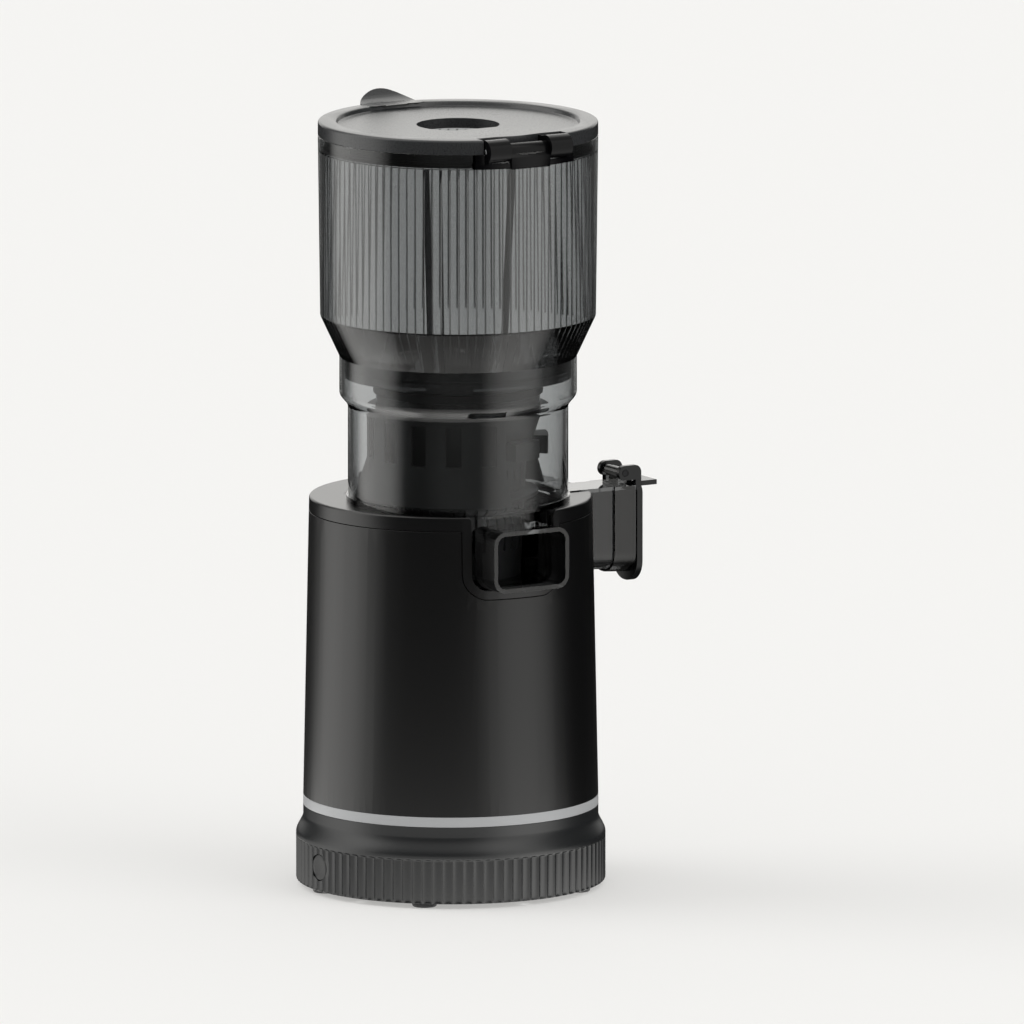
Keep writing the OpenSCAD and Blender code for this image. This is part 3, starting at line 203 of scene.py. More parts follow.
# Feet: five turned pads of black rubber with a round lower edge and a flat tread. They are
# pushed through the base plate and held by a barb.
def moulded(name, base, rough, grain=0.5, depth=0.02, spread=0.06, metal=0.0, shine=0.5, fade=0.0):
    """Moulded plastic or another plain finish: a base colour that drifts by spread over some 40 mm,
    a grain of the given size in mm raised by depth in mm, and roughness that follows it. The
    gloss, shine, falls by the share fade where the surface is seen at a flat angle. Real grain is
    finer than 0.2 mm: it is drawn coarser, so that it still shows from near by."""
    made = bare_material(name)
    tree = made.node_tree
    where = add(tree, "ShaderNodeTexCoord")
    drift = add(tree, "ShaderNodeTexNoise", Vector=(where, "Object"), Scale=1000 / 40, Detail=2.0)
    fine = add(tree, "ShaderNodeTexNoise", Vector=(where, "Object"), Scale=1000 / grain / 2, Detail=1.0)
    dark, light = ((*(min(1, c * (1 + way * spread)) for c in linear(base)[:3]), 1.0) for way in (-1, 1))
    tone = add(tree, "ShaderNodeMix", data_type="RGBA", in_0=(drift, "Fac"), in_6=dark, in_7=light)
    haze = add(tree, "ShaderNodeMapRange", Value=(fine, "Fac"), From_Min=0.3, From_Max=0.7,
               To_Min=rough * 0.94, To_Max=min(1, rough * 1.06))
    bump = add(tree, "ShaderNodeBump", Height=(fine, "Fac"), Strength=0.25, Distance=depth / 1000)
    rim = add(tree, "ShaderNodeLayerWeight", Blend=0.5)
    gloss = add(tree, "ShaderNodeMapRange", interpolation_type="SMOOTHSTEP", Value=(rim, "Facing"),
                From_Min=0.15, From_Max=0.65, To_Min=shine, To_Max=shine * (1 - fade))
    skin = add(tree, "ShaderNodeBsdfPrincipled", Base_Color=(tone, 2), Roughness=(haze, "Result"),
               Metallic=metal, Normal=(bump, "Normal"), Specular_IOR_Level=(gloss, "Result"))
    add(tree, "ShaderNodeOutputMaterial", Surface=(skin, 0))
    return made


def on_circle(axis, radius, angle):
    """Point at an angle, in degrees, on a level circle round an axis."""
    a = math.radians(angle)
    return axis + radius * np.array((math.cos(a), math.sin(a)))


def eased(points, cut, steps=5):
    """Closed profile with soft corners: each corner becomes the parabola that starts cut before it
    and ends cut after it, with the corner as its control point."""
    p = np.asarray(points, float)
    to, on = np.roll(p, 1, 0) - p, np.roll(p, -1, 0) - p
    long_to, long_on = np.linalg.norm(to, axis=1), np.linalg.norm(on, axis=1)
    c = np.minimum(cut, 0.45 * np.minimum(long_to, long_on))
    a, b = p + to * (c / long_to)[:, None], p + on * (c / long_on)[:, None]
    s = np.linspace(0, 1, steps)[None, :, None]
    return ((1 - s) ** 2 * a[:, None] + 2 * s * (1 - s) * p[:, None] + s ** 2 * b[:, None]).reshape(-1, 2)


def turned(profile, turns, axis=(0, 0)):
    """A profile (radius, height) turned about an upright axis: x = r cos a, y = r sin a, z = height.
    Turns is a number of even steps or a list of angles. A radius may be a table with a column for
    each angle."""
    r, z = (np.asarray(v, float) for v in profile)
    r, z = (v[:, None] if v.ndim == 1 else v for v in (r, z))
    a = np.arange(turns) * 2 * math.pi / turns if isinstance(turns, int) else turns
    return np.stack(np.broadcast_arrays(axis[0] + r * np.cos(a), axis[1] + r * np.sin(a), z), -1)


def finished(name, mesh, material, node):
    """Makes a mesh one object of one material, shaded smooth. It rides on the body of a CAD node
    and stands for that node."""
    mesh.materials.clear()
    mesh.materials.append(material)
    mesh.polygons.foreach_set("use_smooth", [True] * len(mesh.polygons))
    made = placed(name, mesh)
    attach(made, bodies[node])
    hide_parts(node)
    return made


def piece(name, surfaces, material, node, sharp=32):
    """One object from grids of points in millimetres. Point (j, i) of a grid joins (j, i + 1),
    (j + 1, i + 1) and (j + 1, i), and its columns and rows both close round. Points that fall
    together are merged, faces turned outwards, and edges that fold by more than sharp left crisp."""
    points, quads, start = [], [], 0
    for grid in surfaces:
        rows, columns = grid.shape[:2]
        j, i = np.meshgrid(np.arange(rows), np.arange(columns), indexing="ij")
        k, m = (i + 1) % columns, (j + 1) % rows
        corners = np.stack((j * columns + i, j * columns + k, m * columns + k, m * columns + i), -1)
        quads.append(corners.reshape(-1, 4) + start)
        points.append(grid.reshape(-1, 3) / 1000)
        start += rows * columns
    mesh = bpy.data.meshes.new(name)
    mesh.from_pydata(np.concatenate(points), [], np.concatenate(quads).tolist())
    work = bmesh.new()
    work.from_mesh(mesh)
    bmesh.ops.remove_doubles(work, verts=work.verts, dist=2e-6)
    bmesh.ops.dissolve_degenerate(work, edges=work.edges, dist=1e-6)
    bmesh.ops.recalc_face_normals(work, faces=work.faces)
    work.to_mesh(mesh)
    work.free()
    made = finished(name, mesh, material, node)
    mesh.set_sharp_from_angle(angle=math.radians(sharp))
    return made


record = frame["record"]
bodies = {node: body for body, nodes in record["behaviour"]["bodies"].items() for node in nodes}
foot_circle = 81.5
pad = eased(((0, 0), (6.9, 0), (7.5, 0.9), (7.5, 3.0), (0, 3.0)), (0, 0.3, 0.5, 0.2, 0))
# Dull, with hardly a highlight.
rubber = moulded("black_rubber", "#2b2b2c", 0.75, grain=0.3, depth=0.03)
for number, from_front in enumerate((-42, 38, 102, 180, 262), 1):
    spot = on_circle(base_axis, foot_circle, from_front - 90)
    piece(f"rubber_foot_{number}", [turned(pad.T, 48, spot)], rubber, f"foot_{number}")


# Base plate: a flat black moulding with air slots under the motor. Five steel screws hold it to
# the plinth's bosses from below.
def joined(mesh):
    """Merges a mesh's doubles and joins the faces that lie within 0.4 degrees of one plane."""
    work = bmesh.new()
    work.from_mesh(mesh)
    bmesh.ops.remove_doubles(work, verts=work.verts, dist=4e-6)
    bmesh.ops.dissolve_limit(work, angle_limit=math.radians(0.4), verts=work.verts, edges=work.edges)
    work.to_mesh(mesh)
    work.free()


def round_edges(shape, edge, sharp=30, flat=True, fold=38):
    """Rounds the edges that fold by more than fold degrees, by edge mm. Edges that fold by more
    than sharp stay crisp in the shading, and flat lets the large faces lead it."""
    shape.data.set_sharp_from_angle(angle=math.radians(sharp))
    bevel = shape.modifiers.new("edges", "BEVEL")
    bevel.width, bevel.segments, bevel.limit_method = edge / 1000, 2, "ANGLE"
    bevel.angle_limit, bevel.miter_outer = math.radians(fold), "MITER_ARC"
    bevel.harden_normals = not flat
    if flat:
        shape.modifiers.new("flat_faces_lead", "WEIGHTED_NORMAL").keep_sharp = True


def dressed(name, node, material, edge):
    """The CAD node's mesh, merged, its flat faces joined and, unless edge is 0, its edges rounded
    by edge mm. It stands for the node."""
    mesh = frame["nodes"][node].data.copy()
    mesh.name = name
    joined(mesh)
    made = finished(name, mesh, material, node)
    if edge:
        round_edges(made, edge)
    return made


# Coarse-grained plastic that nobody sees in use, and bright plated screws.
inner_abs = moulded("black_abs_inner", "#2a2a2c", 0.6, grain=0.8, depth=0.03)
screw_steel = moulded("zinc_plated_steel", "#c4c6c8", 0.32, grain=0.4, depth=0.01, metal=1.0)
dressed("base_plate_moulding", "base_plate", inner_abs, edge=0.3)
dressed("base_plate_screws", "plate_screws", screw_steel, edge=0.2)


# Plinth: matt black ABS with 96 hollow flutes round its foot, and a shoulder above them that
# draws in to the light band. Its bore holds the base plate, and its wall the button and gland.
def smooth(t):
    """Smooth step from 0 to 1: 3 t^2 - 2 t^3, with t held between 0 and 1."""
    t = np.clip(t, 0, 1)
    return t * t * (3 - 2 * t)


def stretch(radius, height):
    """A part of a profile: the points (radius, height), where either may be one number."""
    return np.column_stack(np.broadcast_arrays(radius, height))


def drilled(shape, cutters, sharp=32):
    """Cuts round holes through a shape, after its modifiers: each cutter is (start, end, radius)
    in millimetres. Edges that fold by more than sharp stay crisp."""
    for start, end, radius in cutters:
        start, end = Vector(start), Vector(end)
        tool = bmesh.new()
        bmesh.ops.create_cone(tool, cap_ends=True, segments=64, radius1=radius / 1000, radius2=radius / 1000,
                              depth=(end - start).length / 1000)
        swing = (end - start).to_track_quat("Z", "Y").to_matrix().to_4x4()
        swing.translation = (start + end) / 2000
        bmesh.ops.transform(tool, matrix=swing, verts=tool.verts)
        mesh = bpy.data.meshes.new("cutter")
        tool.to_mesh(mesh)
        tool.free()
        cutter = placed("cutter", mesh)
        hole = shape.modifiers.new("hole", "BOOLEAN")
        hole.object, hole.operation, hole.solver = cutter, "DIFFERENCE", "EXACT"
        cut = bpy.data.meshes.new_from_object(shape.evaluated_get(bpy.context.evaluated_depsgraph_get()))
        shape.modifiers.clear()
        shape.data = cut
        bpy.data.objects.remove(cutter)
    shape.data.set_sharp_from_angle(angle=math.radians(sharp))


flutes, flute_steps, flute_depth = 96, 12, 1.1
plinth_r, waist_r, bore_r = 92.8, 88.5, 85.9
plinth_foot, flute_top, shoulder_top, plinth_top = 3, 31.5, 43, 49
# Spark-eroded ABS: a fine grain that scatters light, and no sheen where it is seen at a flat angle.
matt_abs = moulded("matt_black_abs", "#1d1e1f", 0.34, grain=0.45, depth=0.015, spread=0.05, shine=0.55,
                   fade=0.9)
foot_edge = ((89.4, plinth_foot), (plinth_r, plinth_foot), (plinth_r, flute_top))
foot_edge = eased(foot_edge, (0.2, 2.6, 0))[:-5]  # without the last corner, where the flutes go on
fluted = stretch(plinth_r, np.concatenate((np.linspace(5.7, 27.9, 10), np.linspace(28.3, 30.7, 10))))
up = np.linspace(0, 1, 24)
shoulder = stretch(plinth_r + (waist_r - plinth_r) * smooth(up), flute_top + (shoulder_top - flute_top) * up)
inside = np.array(((waist_r, plinth_top - 0.3), (waist_r - 0.3, plinth_top), (bore_r, plinth_top),
                   (bore_r, 35.6), (89.3, 29.1), (89.3, plinth_foot + 0.2)))
radius, height = np.concatenate((foot_edge, fluted, shoulder, inside)).T
# A flute's hollow runs out over 1.2 mm at the foot and 1.6 mm at its top, only on the outer side.
deep = smooth((height - plinth_foot) / 1.2) * smooth((30.4 - height) / 1.6) * (radius > 89.45)
across = np.tile(np.arange(flute_steps) / flute_steps * 2 - 1, flutes)
hollow = 1 - np.abs(across) ** 2.4
table = radius[:, None] - flute_depth * deep[:, None] * hollow
plinth = piece("fluted_plinth", [turned((table, height), flutes * flute_steps, base_axis)], matt_abs,
               "plinth", sharp=50)
key_height, gland_height, hole_start, hole_end = 17.5, 19, 80, 100
x, y = base_axis
drilled(plinth, [((x - hole_start, y, key_height), (x - hole_end, y, key_height), 8.1),
                 ((x, y + hole_start, gland_height), (x, y + hole_end, gland_height), 7.0)])

# Light band: a diffuser of pale grey acrylic, clamped between plinth and housing, flush with
# both. Unlit it looks like matt silver.
band_top, band_in_r, lip_in_r = 55, 85.1, 82.5
band_acrylic = moulded("satin_grey_acrylic", "#a3a4a5", 0.38, grain=0.3, depth=0.01, spread=0.02)
band = eased(((waist_r, plinth_top), (waist_r, band_top), (band_in_r, band_top), (band_in_r, plinth_top)),
             (0.25, 0.25, 0.2, 0.2))
lip = eased(((bore_r, 45), (bore_r, 52), (lip_in_r, 52), (lip_in_r, 45)), 0.2)
piece("light_band_diffuser", [turned(band.T, 256, base_axis), turned(lip.T, 128, base_axis)], band_acrylic,
      "light_band")

# Power button: a round key of satin black ABS with a shallow dish, sprung on a small push switch
# that stands on the base plate beside the control board.
satin_abs = moulded("satin_black_abs", "#161718", 0.5, grain=0.3, depth=0.015, shine=0.25)
face, rear, flange, stem, key_r, flange_r, stem_r = 91.6, 86.1, 1.2, 1.2, 7.8, 9.2, 2.4
key = eased(((0, face - 0.35), (5.5, face), (key_r, face), (key_r, rear + flange), (flange_r, rear + flange),
             (flange_r, rear), (stem_r, rear), (stem_r, rear - stem), (0, rear - stem)),
            (0, 2.5, 0.6, 0.1, 0.2, 0.2, 0.1, 0.2, 0))
key = turned(key.T, 64)
key = np.stack((base_axis[0] - key[..., 2], base_axis[1] + key[..., 1], key_height + key[..., 0]), -1)
piece("power_key", [key], satin_abs, "power_button")
dressed("power_push_switch", "power_switch", inner_abs, edge=0.4)

# Control board: green glass laminate with a capacitor, a relay and a regulator in dark epoxy
# cases. It stands on four posts of the base plate, and its lacquer has a soft shine.
laminate = moulded("green_laminate", "#1f5a35", 0.4, grain=1.2, depth=0.02)
dark_parts = moulded("component_epoxy", "#22262c", 0.45, grain=0.5, depth=0.02)
dressed("control_board_laminate", "control_board", laminate, edge=0.15)
dressed("control_board_parts", "board_parts", dark_parts, edge=0.4)

# Cord gland: a bush of dull black nylon with an inner flange, pushed through the plinth's wall
# at the back. The lead isn't shown.
gland_nylon = moulded("black_nylon", "#262628", 0.5, grain=0.5, depth=0.03)
dressed("cord_gland_bush", "cord_gland", gland_nylon, edge=0.4)


# Motor: a drawn steel can with a stamped end plate, laminated stator and rotor, bronze bushes
# and a ground steel shaft; a moulded fan cools it from below.
def brushed(name, base, rough, rings):
    """Turned or rolled metal: fine rings, as many per metre of height as given, streak the
    roughness and the bump along the turning."""
    made = bare_material(name)
    tree = made.node_tree
    where = add(tree, "ShaderNodeTexCoord")
    drawn = add(tree, "ShaderNodeMapping", Vector=(where, "Object"), Scale=(4.0, 4.0, rings))
    lines = add(tree, "ShaderNodeTexNoise", Vector=(drawn, "Vector"), Scale=1.0, Detail=3.0)
    haze = add(tree, "ShaderNodeMapRange", Value=(lines, "Fac"), From_Min=0.3, From_Max=0.7,
               To_Min=rough * 0.8, To_Max=rough * 1.2)
    bump = add(tree, "ShaderNodeBump", Height=(lines, "Fac"), Strength=0.2, Distance=0.00002)
    skin = add(tree, "ShaderNodeBsdfPrincipled", Base_Color=linear(base), Roughness=(haze, "Result"),
               Metallic=1.0, Normal=(bump, "Normal"))
    add(tree, "ShaderNodeOutputMaterial", Surface=(skin, 0))
    return made


# Grey drawn and laminated steel, a brighter ground shaft, warm bronze and enamelled copper.
can_steel = brushed("drawn_steel", "#8b8e92", 0.38, 3000)
core_steel = brushed("laminated_core_steel", "#5f6165", 0.5, 2000)
shaft_steel = brushed("ground_steel", "#c6c8ca", 0.25, 6000)
bronze = brushed("sintered_bronze", "#b08d57", 0.42, 1500)
copper = moulded("enamelled_copper_winding", "#9a5b32", 0.35, grain=1.0, depth=0.1, metal=0.6)
for name, node, material in (
        ("motor_can_drawn", "motor_can", can_steel), ("motor_end_plate", "motor_end", can_steel),
        ("motor_bush_pair", "motor_bushes", bronze), ("stator_core", "stator", core_steel),
        ("motor_shaft_ground", "motor_shaft", shaft_steel), ("rotor_with_winding", "rotor_core", copper),
        ("motor_cooling_fan", "cooling_fan", gland_nylon)):
    dressed(name, node, material, edge=0.2)

# Gearbox: a die-cast alloy case and cover, two pairs of nylon gears, a steel pin for the idler,
# bronze bushes, and the drive shaft whose hexagon turns the auger.
# Pale grey metal with the fine skin of a casting, and milky nylon.
cast_alloy = moulded("die_cast_alloy", "#9a9da0", 0.42, grain=0.7, depth=0.04, metal=0.9)
nylon = moulded("natural_nylon", "#d8d4c4", 0.45, grain=0.4, depth=0.01)
for name, node, material in (
        ("gearbox_case_casting", "gearbox_case", cast_alloy),
        ("gearbox_cover_casting", "gearbox_cover", cast_alloy),
        ("gearbox_cover_screws", "gearbox_screws", screw_steel),
        ("idler_steel_pin", "idler_pin", shaft_steel),
        ("lower_shaft_bush", "lower_bush", bronze), ("upper_shaft_bush", "upper_bush", bronze),
        ("motor_pinion_gear", "motor_pinion", nylon), ("idler_gear_pair", "idler_gear", nylon),
        ("output_gear_wheel", "output_gear", nylon), ("drive_shaft_hexagon", "drive_shaft", shaft_steel)):
    dressed(name, node, material, edge=0.15)

# Housing: one tall draw of black ABS, slightly tapered, with a dropped front for the deck's
# spout surround. It stands on the light band. Polished between satin and gloss, it mirrors softly.
sheen_abs = moulded("satin_black_housing_abs", "#050506", 0.34, grain=0.25, depth=0.004, spread=0.03)
dressed("tall_housing", "housing", sheen_abs, edge=0.35)

# Deck: the upper moulding of satin black ABS, with the bowl's well, the guard behind the bowl and
# the notches for the two spouts. A round cut at one end of the guard bares what is behind it, and
# the rim carries on the housing's taper under a fine seam.
guard_r, guard_end_angle, deck_z, cut_height, cut_r = 70, 141, 236, 26, 16
bowl_axis = np.array((-21.85, -11.9))
deck_abs = moulded("satin_black_deck_abs", "#09090a", 0.3, grain=0.25, depth=0.005, spread=0.03)
deck = dressed("deck_moulding", "deck", deck_abs, edge=0)
guard_end = on_circle(bowl_axis, guard_r, guard_end_angle)
drilled(deck, [((*guard_end, deck_z), (*guard_end, deck_z + cut_height), cut_r)])
joined(deck.data)
round_edges(deck, 0.45)
# Soft and dull, a shade greyer than the plastic round it.
silicone = moulded("black_silicone", "#202021", 0.55, grain=0.4, depth=0.01)
dressed("drive_shaft_seal", "shaft_seal", silicone, edge=0.3)


# Bowl: smoke-clear copolyester, moulded in one piece with both spouts, the seat's bead and the
# flared collar; the light that shows through it is grey and dims towards its edges.
def smoky(name, tint):
    """Polished smoke-clear plastic: light passes each face with the given tint and bends as in
    the solid, and faint waves from the mould move what shows through it."""
    made = bare_material(name)
    tree = made.node_tree
    where = add(tree, "ShaderNodeTexCoord")
    ripple = add(tree, "ShaderNodeTexNoise", Vector=(where, "Object"), Scale=60.0, Detail=1.0)
    bump = add(tree, "ShaderNodeBump", Height=(ripple, "Fac"), Strength=0.15, Distance=0.0001)
    skin = add(tree, "ShaderNodeBsdfPrincipled", Base_Color=linear(tint), Roughness=0.03, IOR=1.5,
               Transmission_Weight=1.0, Normal=(bump, "Normal"))
    add(tree, "ShaderNodeOutputMaterial", Surface=(skin, 0))
    return made


def darker(shape, material, test):
    """Gives a further material to the faces of a shape whose centre (x, y, z in mm) passes a test."""
    faces = shape.data.polygons
    centres, chosen = np.empty(len(faces) * 3), np.empty(len(faces), np.int32)
    faces.foreach_get("center", centres)
    faces.foreach_get("material_index", chosen)
    shape.data.materials.append(material)
    chosen[test(*(centres.reshape(-1, 3).T * 1000))] = len(shape.data.materials) - 1
    faces.foreach_set("material_index", chosen)


# The spouts get a deeper tint than the bowl: painted shade, which darkens their walls and rims as the dark
# inside the spouts would.
pulp_spout, juice_spout, spout_top = bowl_axis[0] + 71, bowl_axis[1] - 66, 234
smoke_clear = smoky("smoke_clear_copolyester", "#d0d2d3")
smoke_painted_shade = smoky("smoke_clear_copolyester_painted_shade", "#616263")
bowl = dressed("clear_bowl", "juice_bowl", smoke_clear, edge=0.3)
# Painted shade: the faces of both spouts take the deeper tint.
darker(bowl, smoke_painted_shade, lambda x, y, z: (x > pulp_spout) | (y < juice_spout) & (z < spout_top))
dressed("bowl_shaft_seal", "bowl_seal", silicone, edge=0.3)
dressed("round_pulp_seal", "pulp_seal", silicone, edge=0.3)

# Strainer: a drum of dark filter plastic with rows of fine upright slots between its rings, and
# lugs under its flange; round it stands the open cage.
# Dark grey between dull and satin, so that it shows only dimly through the bowl.
filter_plastic = moulded("dark_filter_plastic", "#38393a", 0.36, grain=0.5, depth=0.03)
dressed("strainer_drum_moulding", "strainer_drum", filter_plastic, edge=0.2)
dressed("strainer_cage_moulding", "strainer_cage", filter_plastic, edge=0.2)


# Auger: black glass-filled plastic moulded round a steel hexagon socket. Its two flights wind up
# the tapering core, and a separate wing on top cuts and draws the fruit in.
def wound(low, high, rows, columns, radius):
    """A body turned from low to high, whose radius is a function of the share t of its height and
    the angle, with both ends closed on the axis."""
    t = np.concatenate(((0,), np.linspace(0, 1, rows), (1,)))[:, None]
    r = radius(t, np.arange(columns) * 2 * math.pi / columns)
    r[0], r[-1] = 0, 0
    return turned((r, low + (high - low) * t), columns, bowl_axis)


def off(a, b):
    """Angle between a and b in degrees, from 0 to 180."""
    return np.degrees(np.abs((a - b + math.pi) % (2 * math.pi) - math.pi))


def auger_radius(t, a):
    """A core that tapers from 29 to 14 mm, with two flights at 0 and 180 degrees, both turned 540
    degrees upwards. A flight is level across 16 degrees and falls to the core over 7 degrees a
    side; its tip is at 34.8 mm, and widens by 6 mm over the 14 mm above wider_z."""
    core = 29 - 15 * smooth(t)
    tip = 34.8 + 6 * smooth((auger_foot + (auger_top - auger_foot) * t - wider_z) / 14)
    out = core + (tip - core) * smooth((1 - t) * 8) * smooth(0.5 + 20 * t)
    turned_by = 3 * math.pi * t
    near = np.minimum(off(a, turned_by), off(a, turned_by + math.pi))
    return core + (out - core) * smooth((8 + 7 - near) / 7)


def wing_radius(t, a):
    """A hub with one blade that reaches furthest in its lower half and sweeps 140 degrees round."""
    hub = 12 - 6 * t
    reach = (43 - hub) * smooth(3 * t) * smooth((1 - t) * 1.6)
    blade = ((1 + np.cos(a - math.radians(140) * t)) / 2) ** 6
    return hub + reach * blade


auger_foot, wider_z, auger_top, wing_top = 197.8, 263, 301, 339
# Black, with a faint gloss that follows the flights.
auger_black = moulded("glass_filled_black", "#151516", 0.3, grain=0.5, depth=0.02)
piece("auger_with_flights", [wound(auger_foot, auger_top, 220, 240, auger_radius)], auger_black,
      "auger_screw", sharp=60)
piece("swept_cutting_wing", [wound(auger_top, wing_top, 90, 192, wing_radius)], auger_black,
      "cutting_wing", sharp=60)
dressed("auger_hexagon_socket", "auger_socket", screw_steel, edge=0.2)

# Pulp cap: a glossy dark flap over the pulp spout, moulded with two ears round a steel pin and a
# thumb tab, and a soft gasket behind it.
cap_plastic = moulded("smoked_black_plastic", "#0c0d0e", 0.18, grain=0.4, depth=0.01, shine=0.3)
dressed("pulp_cap_flap", "pulp_cap", cap_plastic, edge=0.5)
dressed("pulp_cap_gasket", "cap_gasket", silicone, edge=0.15)
# Nearly as dark as the flap, so that only a fine highlight tells the pin from it.
black_pin = moulded("blackened_steel", "#1d1d1f", 0.35, grain=0.4, depth=0.005, metal=0.7)
dressed("pulp_cap_pin", "cap_pin", black_pin, edge=0.3)


# Hopper: the same smoke-clear plastic, with a cone that plugs into the bowl, 96 upright facets
# with a fine ridge between each two on its inner wall, and two feed ribs, the left one double.
def bar(section, run, place, count=2, soft=0.3):
    """A closed section (across, up) run from one value to the other along X in count stations. Its
    ends shrink softly towards its middle, and a function of (along, across, up) places it."""
    section = np.asarray(section, float)
    middle = section.mean(0)
    start, end = run
    stations = np.array((start, start, *np.linspace(start + soft, end - soft, count), end, end))
    size = np.array((0, 0.97, *np.ones(count), 0.97, 0))[:, None, None]
    loops = middle + (section - middle) * size
    along = np.broadcast_to(stations[:, None], loops.shape[:2])
    return np.stack(place(along, loops[..., 0], loops[..., 1]), -1)[:, ::-1]


def rib_at(angle, wide):
    """Upright rib on the hopper's inner wall at an angle from the front, with its width. Its foot
    leans in by 13.5 mm, as the wall does between cone_top and wall_foot."""
    a = math.radians(angle)
    heading, side = np.array((math.sin(a), -math.cos(a))), np.array((math.cos(a), math.sin(a)))

    def place(along, across, up):
        lean = np.clip((wall_foot - along) / (wall_foot - cone_top), 0, 1) * 13.5
        out = up - lean
        return (bowl_axis[0] + heading[0] * out + side[0] * across,
                bowl_axis[1] + heading[1] * out + side[1] * across, along + 0 * across)

    half = wide / 2
    section = eased(((-half, rib_r), (half, rib_r), (half, facet_r), (-half, facet_r)), 0.4)
    return bar(section, rib_run, place)


def ribs_hold(x, y):
    """True for points that lie on one of the feed ribs, inside the facets' ridges."""
    x, y = x - bowl_axis[0], y - bowl_axis[1]
    near = [off(np.arctan2(x, -y), math.radians(angle)) < wide / 2 + 0.6 for angle, wide in ribs]
    return (np.hypot(x, y) < 78.9) & np.any(near, 0)


throat_r, cone_r, collar_r, facet_r, hopper_r = 46.8, 49.2, 67.9, 79.6, 83.7
cone_foot, collar_foot, cone_top, wall_foot, hopper_top = 293.3, 311.5, 323.5, 348, 457
rib_r, rib_run, ribs = 76.3, (325, 447), ((-44.8, 3.4), (-38.4, 1.4), (-7, 3.4))
outer = np.array((
    (throat_r, cone_foot), (cone_r, cone_foot), (cone_r, collar_foot - 0.3), (cone_r + 0.3, collar_foot),
    (67.5, collar_foot), (collar_r, 312), (collar_r, cone_top), (71, cone_top), (82.1, 347.3), (82.4, 348.5),
    (hopper_r, hopper_top - 0.3), (hopper_r - 0.3, hopper_top), (81.1, hopper_top), (80.9, hopper_top - 0.3),
    (80.9, 448.3), (79.2, 447.9)))
walls = stretch(facet_r, np.linspace(447.5, 348.6, 9))
inner = np.array(((78.8, 347.6), (65.1, cone_top), (cone_r, 313.9), (throat_r, 313.9)))
radius, height = np.concatenate((outer, walls, inner)).T
facets, ridge_depth, ridge_half = 96, 0.55, 0.1
# Columns of one facet, as shares of it from the middle of its ridge, where they crowd. All the
# columns are turned back by half a degree.
across = np.array((-0.5, -0.35, -0.2, -0.1, -0.066, -0.033, 0, 0.033, 0.066, 0.1, 0.2, 0.35))
angles = ((np.arange(facets)[:, None] + across) * 2 * math.pi / facets).ravel() - math.radians(0.5)
ridge = np.tile(1 - smooth(np.abs(across) / ridge_half), facets)
deep = np.zeros(len(height))
deep[len(outer):len(outer) + len(walls)] = ridge_depth
shell = turned((radius[:, None] - deep[:, None] * ridge, height), angles, bowl_axis)
# A deeper grey than the bowl's, and darker still in the cone's thick floor and the ribs.
hopper_clear = smoky("smoke_clear_hopper_copolyester", "#b8babb")
hopper_floor = smoky("smoke_clear_hopper_copolyester_thick", "#5c5d5e")
hopper_rib = smoky("smoke_clear_hopper_copolyester_rib", "#3c3d3e")
hopper = piece("fluted_hopper", [shell, *(rib_at(angle, wide) for angle, wide in ribs)], hopper_clear,
               "hopper_shell", sharp=28)
darker(hopper, hopper_floor, lambda x, y, z: z < cone_top + 0.1)
darker(hopper, hopper_rib, lambda x, y, z: (z > cone_top + 0.1) & ribs_hold(x, y))
dressed("hopper_bowl_seal", "hopper_seal", silicone, edge=0.2)


# Hinge: a knuckle on the hopper's rim between the lid's two, on a ground steel pin, with a short
# curved apron and two cheeks under it. All but the pin are moulded in glossy black ABS.
def by_hinge(along, across, up):
    """Places a hinge part by the pin: along X, across towards the back, and up."""
    return bowl_axis[0] + along, hinge_y + across, hinge_z + up


def along_wall(along, across, up):
    """Places a hinge part so that it follows the hopper's round wall: its distance from the pin
    grows by r - sqrt(r^2 - along^2), with the hopper's radius as r."""
    return by_hinge(along, across + hopper_r - np.sqrt(hopper_r ** 2 - along ** 2), up)


hinge_y, hinge_z, knuckle_r = bowl_axis[1] - 79, 458.5, 4
dressed("lid_hinge_pin", "lid_pin", shaft_steel, edge=0.3)
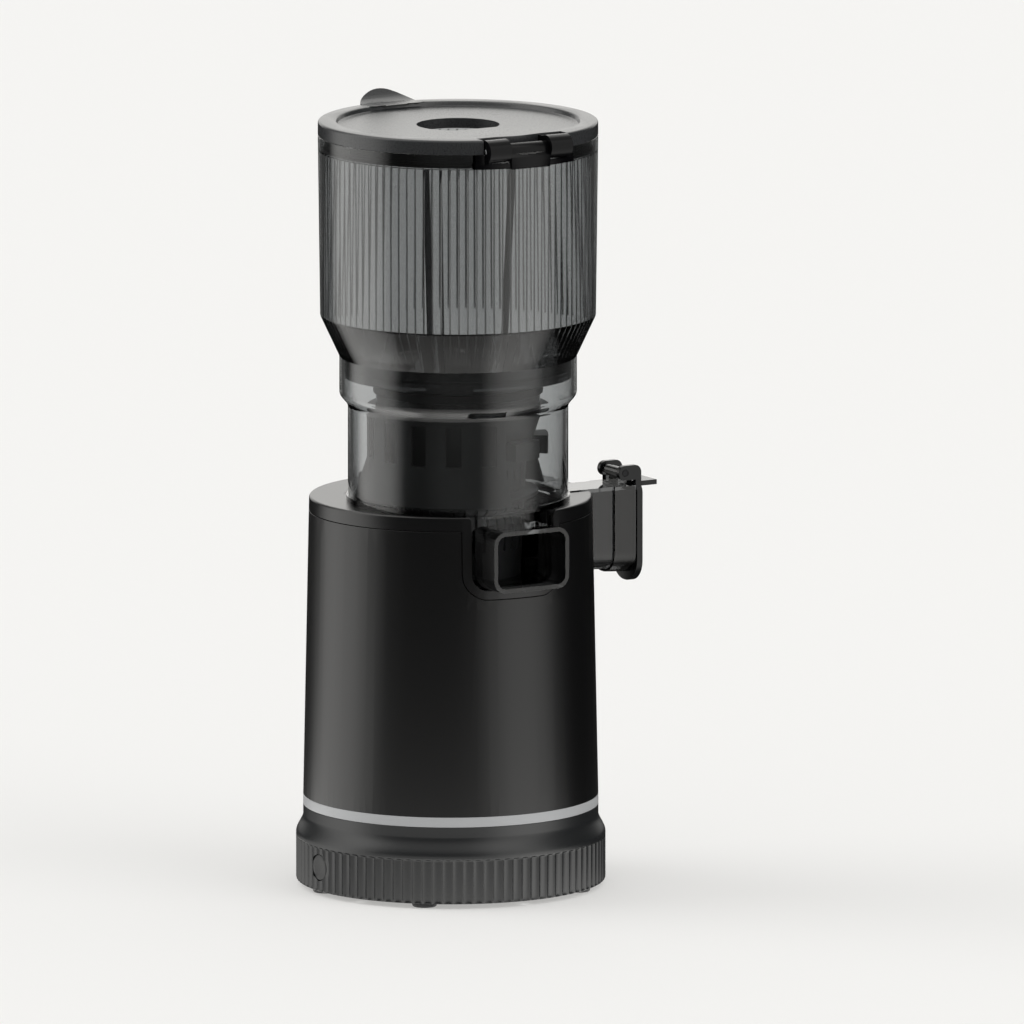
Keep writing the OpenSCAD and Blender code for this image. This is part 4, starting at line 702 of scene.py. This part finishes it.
# Across and up from the pin: round over the top, with a block that reaches down to the rim.
knuckle = [(knuckle_r * math.cos(a), knuckle_r * math.sin(a)) for a in np.linspace(-1.05, math.pi, 20)]
knuckle = eased(knuckle + [(-4.2, -2), (-5.6, -4), (-5.6, -11), (2, -11)], 0.3)
apron = eased(((-5.4, -10.5), (-1.5, -10.5), (-1.5, -7.15), (-5.4, -7.15)), 0.3)
cheek = eased(((-5.1, -8), (-1.8, -8), (-1.8, -1.7), (-5.1, -1.7)), 0.3)
cheeks = [bar(cheek, run, along_wall) for run in ((-33.7, -28.9), (28.9, 33.7))]
hinge_abs = moulded("black_hinge_abs", "#050506", 0.2, grain=0.25, depth=0.005, spread=0.03, shine=0.16)
piece("middle_hinge_knuckle", [bar(knuckle, (-13.45, 13.45), by_hinge), bar(apron, (-34, 34), along_wall, 25),
                               *cheeks], hinge_abs, "hopper_shell", sharp=40)


# Lid: a dished plate of satin black ABS with a feed hole, a lifting tab and two glossier hinge
# knuckles. A soft gasket seals its edge to the hopper's rim.
def steeper_dish(shape):
    """Moves the lid's dish to its photographed shape, a steep wall and a level floor. A point of
    the wall at radius r goes to the table's entry at (dish_r - r) / dish_wall, except near the
    hinge."""
    points = np.empty(len(shape.data.vertices) * 3)
    shape.data.vertices.foreach_get("co", points)
    x, y, z = points.reshape(-1, 3).T * 1000 - np.array((*bowl_axis, lid_top))[:, None]
    r = np.maximum(np.hypot(x, y), 1)
    step = (dish_r - r) / dish_wall
    wall = (step > -0.01) & (step < 1.01) & (z > -2.85) & (z < 0.02) & (y < 70)
    floor = (r < floor_r) & (z > -3.65) & (z < -dish_depth)
    away = smooth((off(np.arctan2(x, -y), 0) - 28) / 10)
    across = np.interp(step, np.linspace(0, 1, 7), (73.8, 73.1, 72.6, 72.3, 71.8, 70.9, 69.0))
    down = np.interp(step, np.linspace(0, 1, 7), (0, -0.25, -0.9, -1.7, -2.4, -2.72, -dish_depth))
    x, y = (v * np.where(wall, 1 + (across / r - 1) * away, 1) for v in (x, y))
    z = np.where(wall, z + (down - z) * away, np.where(floor, -dish_depth, z))
    moved = np.stack((x, y, z), -1) + (*bowl_axis, lid_top)
    shape.data.vertices.foreach_set("co", (moved / 1000).ravel())


lid_top, dish_r, dish_wall, floor_r, dish_depth = 465.5, 71.7, 7, 64.8, 2.8
lid_abs = moulded("satin_black_lid_abs", "#2a2b2c", 0.28, grain=0.25, depth=0.005, spread=0.03)
lid = dressed("dished_lid", "lid", lid_abs, edge=0)
steeper_dish(lid)
round_edges(lid, 0.4, sharp=36, flat=False)
darker(lid, hinge_abs, lambda x, y, z: (y < bowl_axis[1] - 70) & (np.abs(x - bowl_axis[0]) < 28.8))
dressed("lid_edge_gasket", "lid_gasket", silicone, edge=0.15)
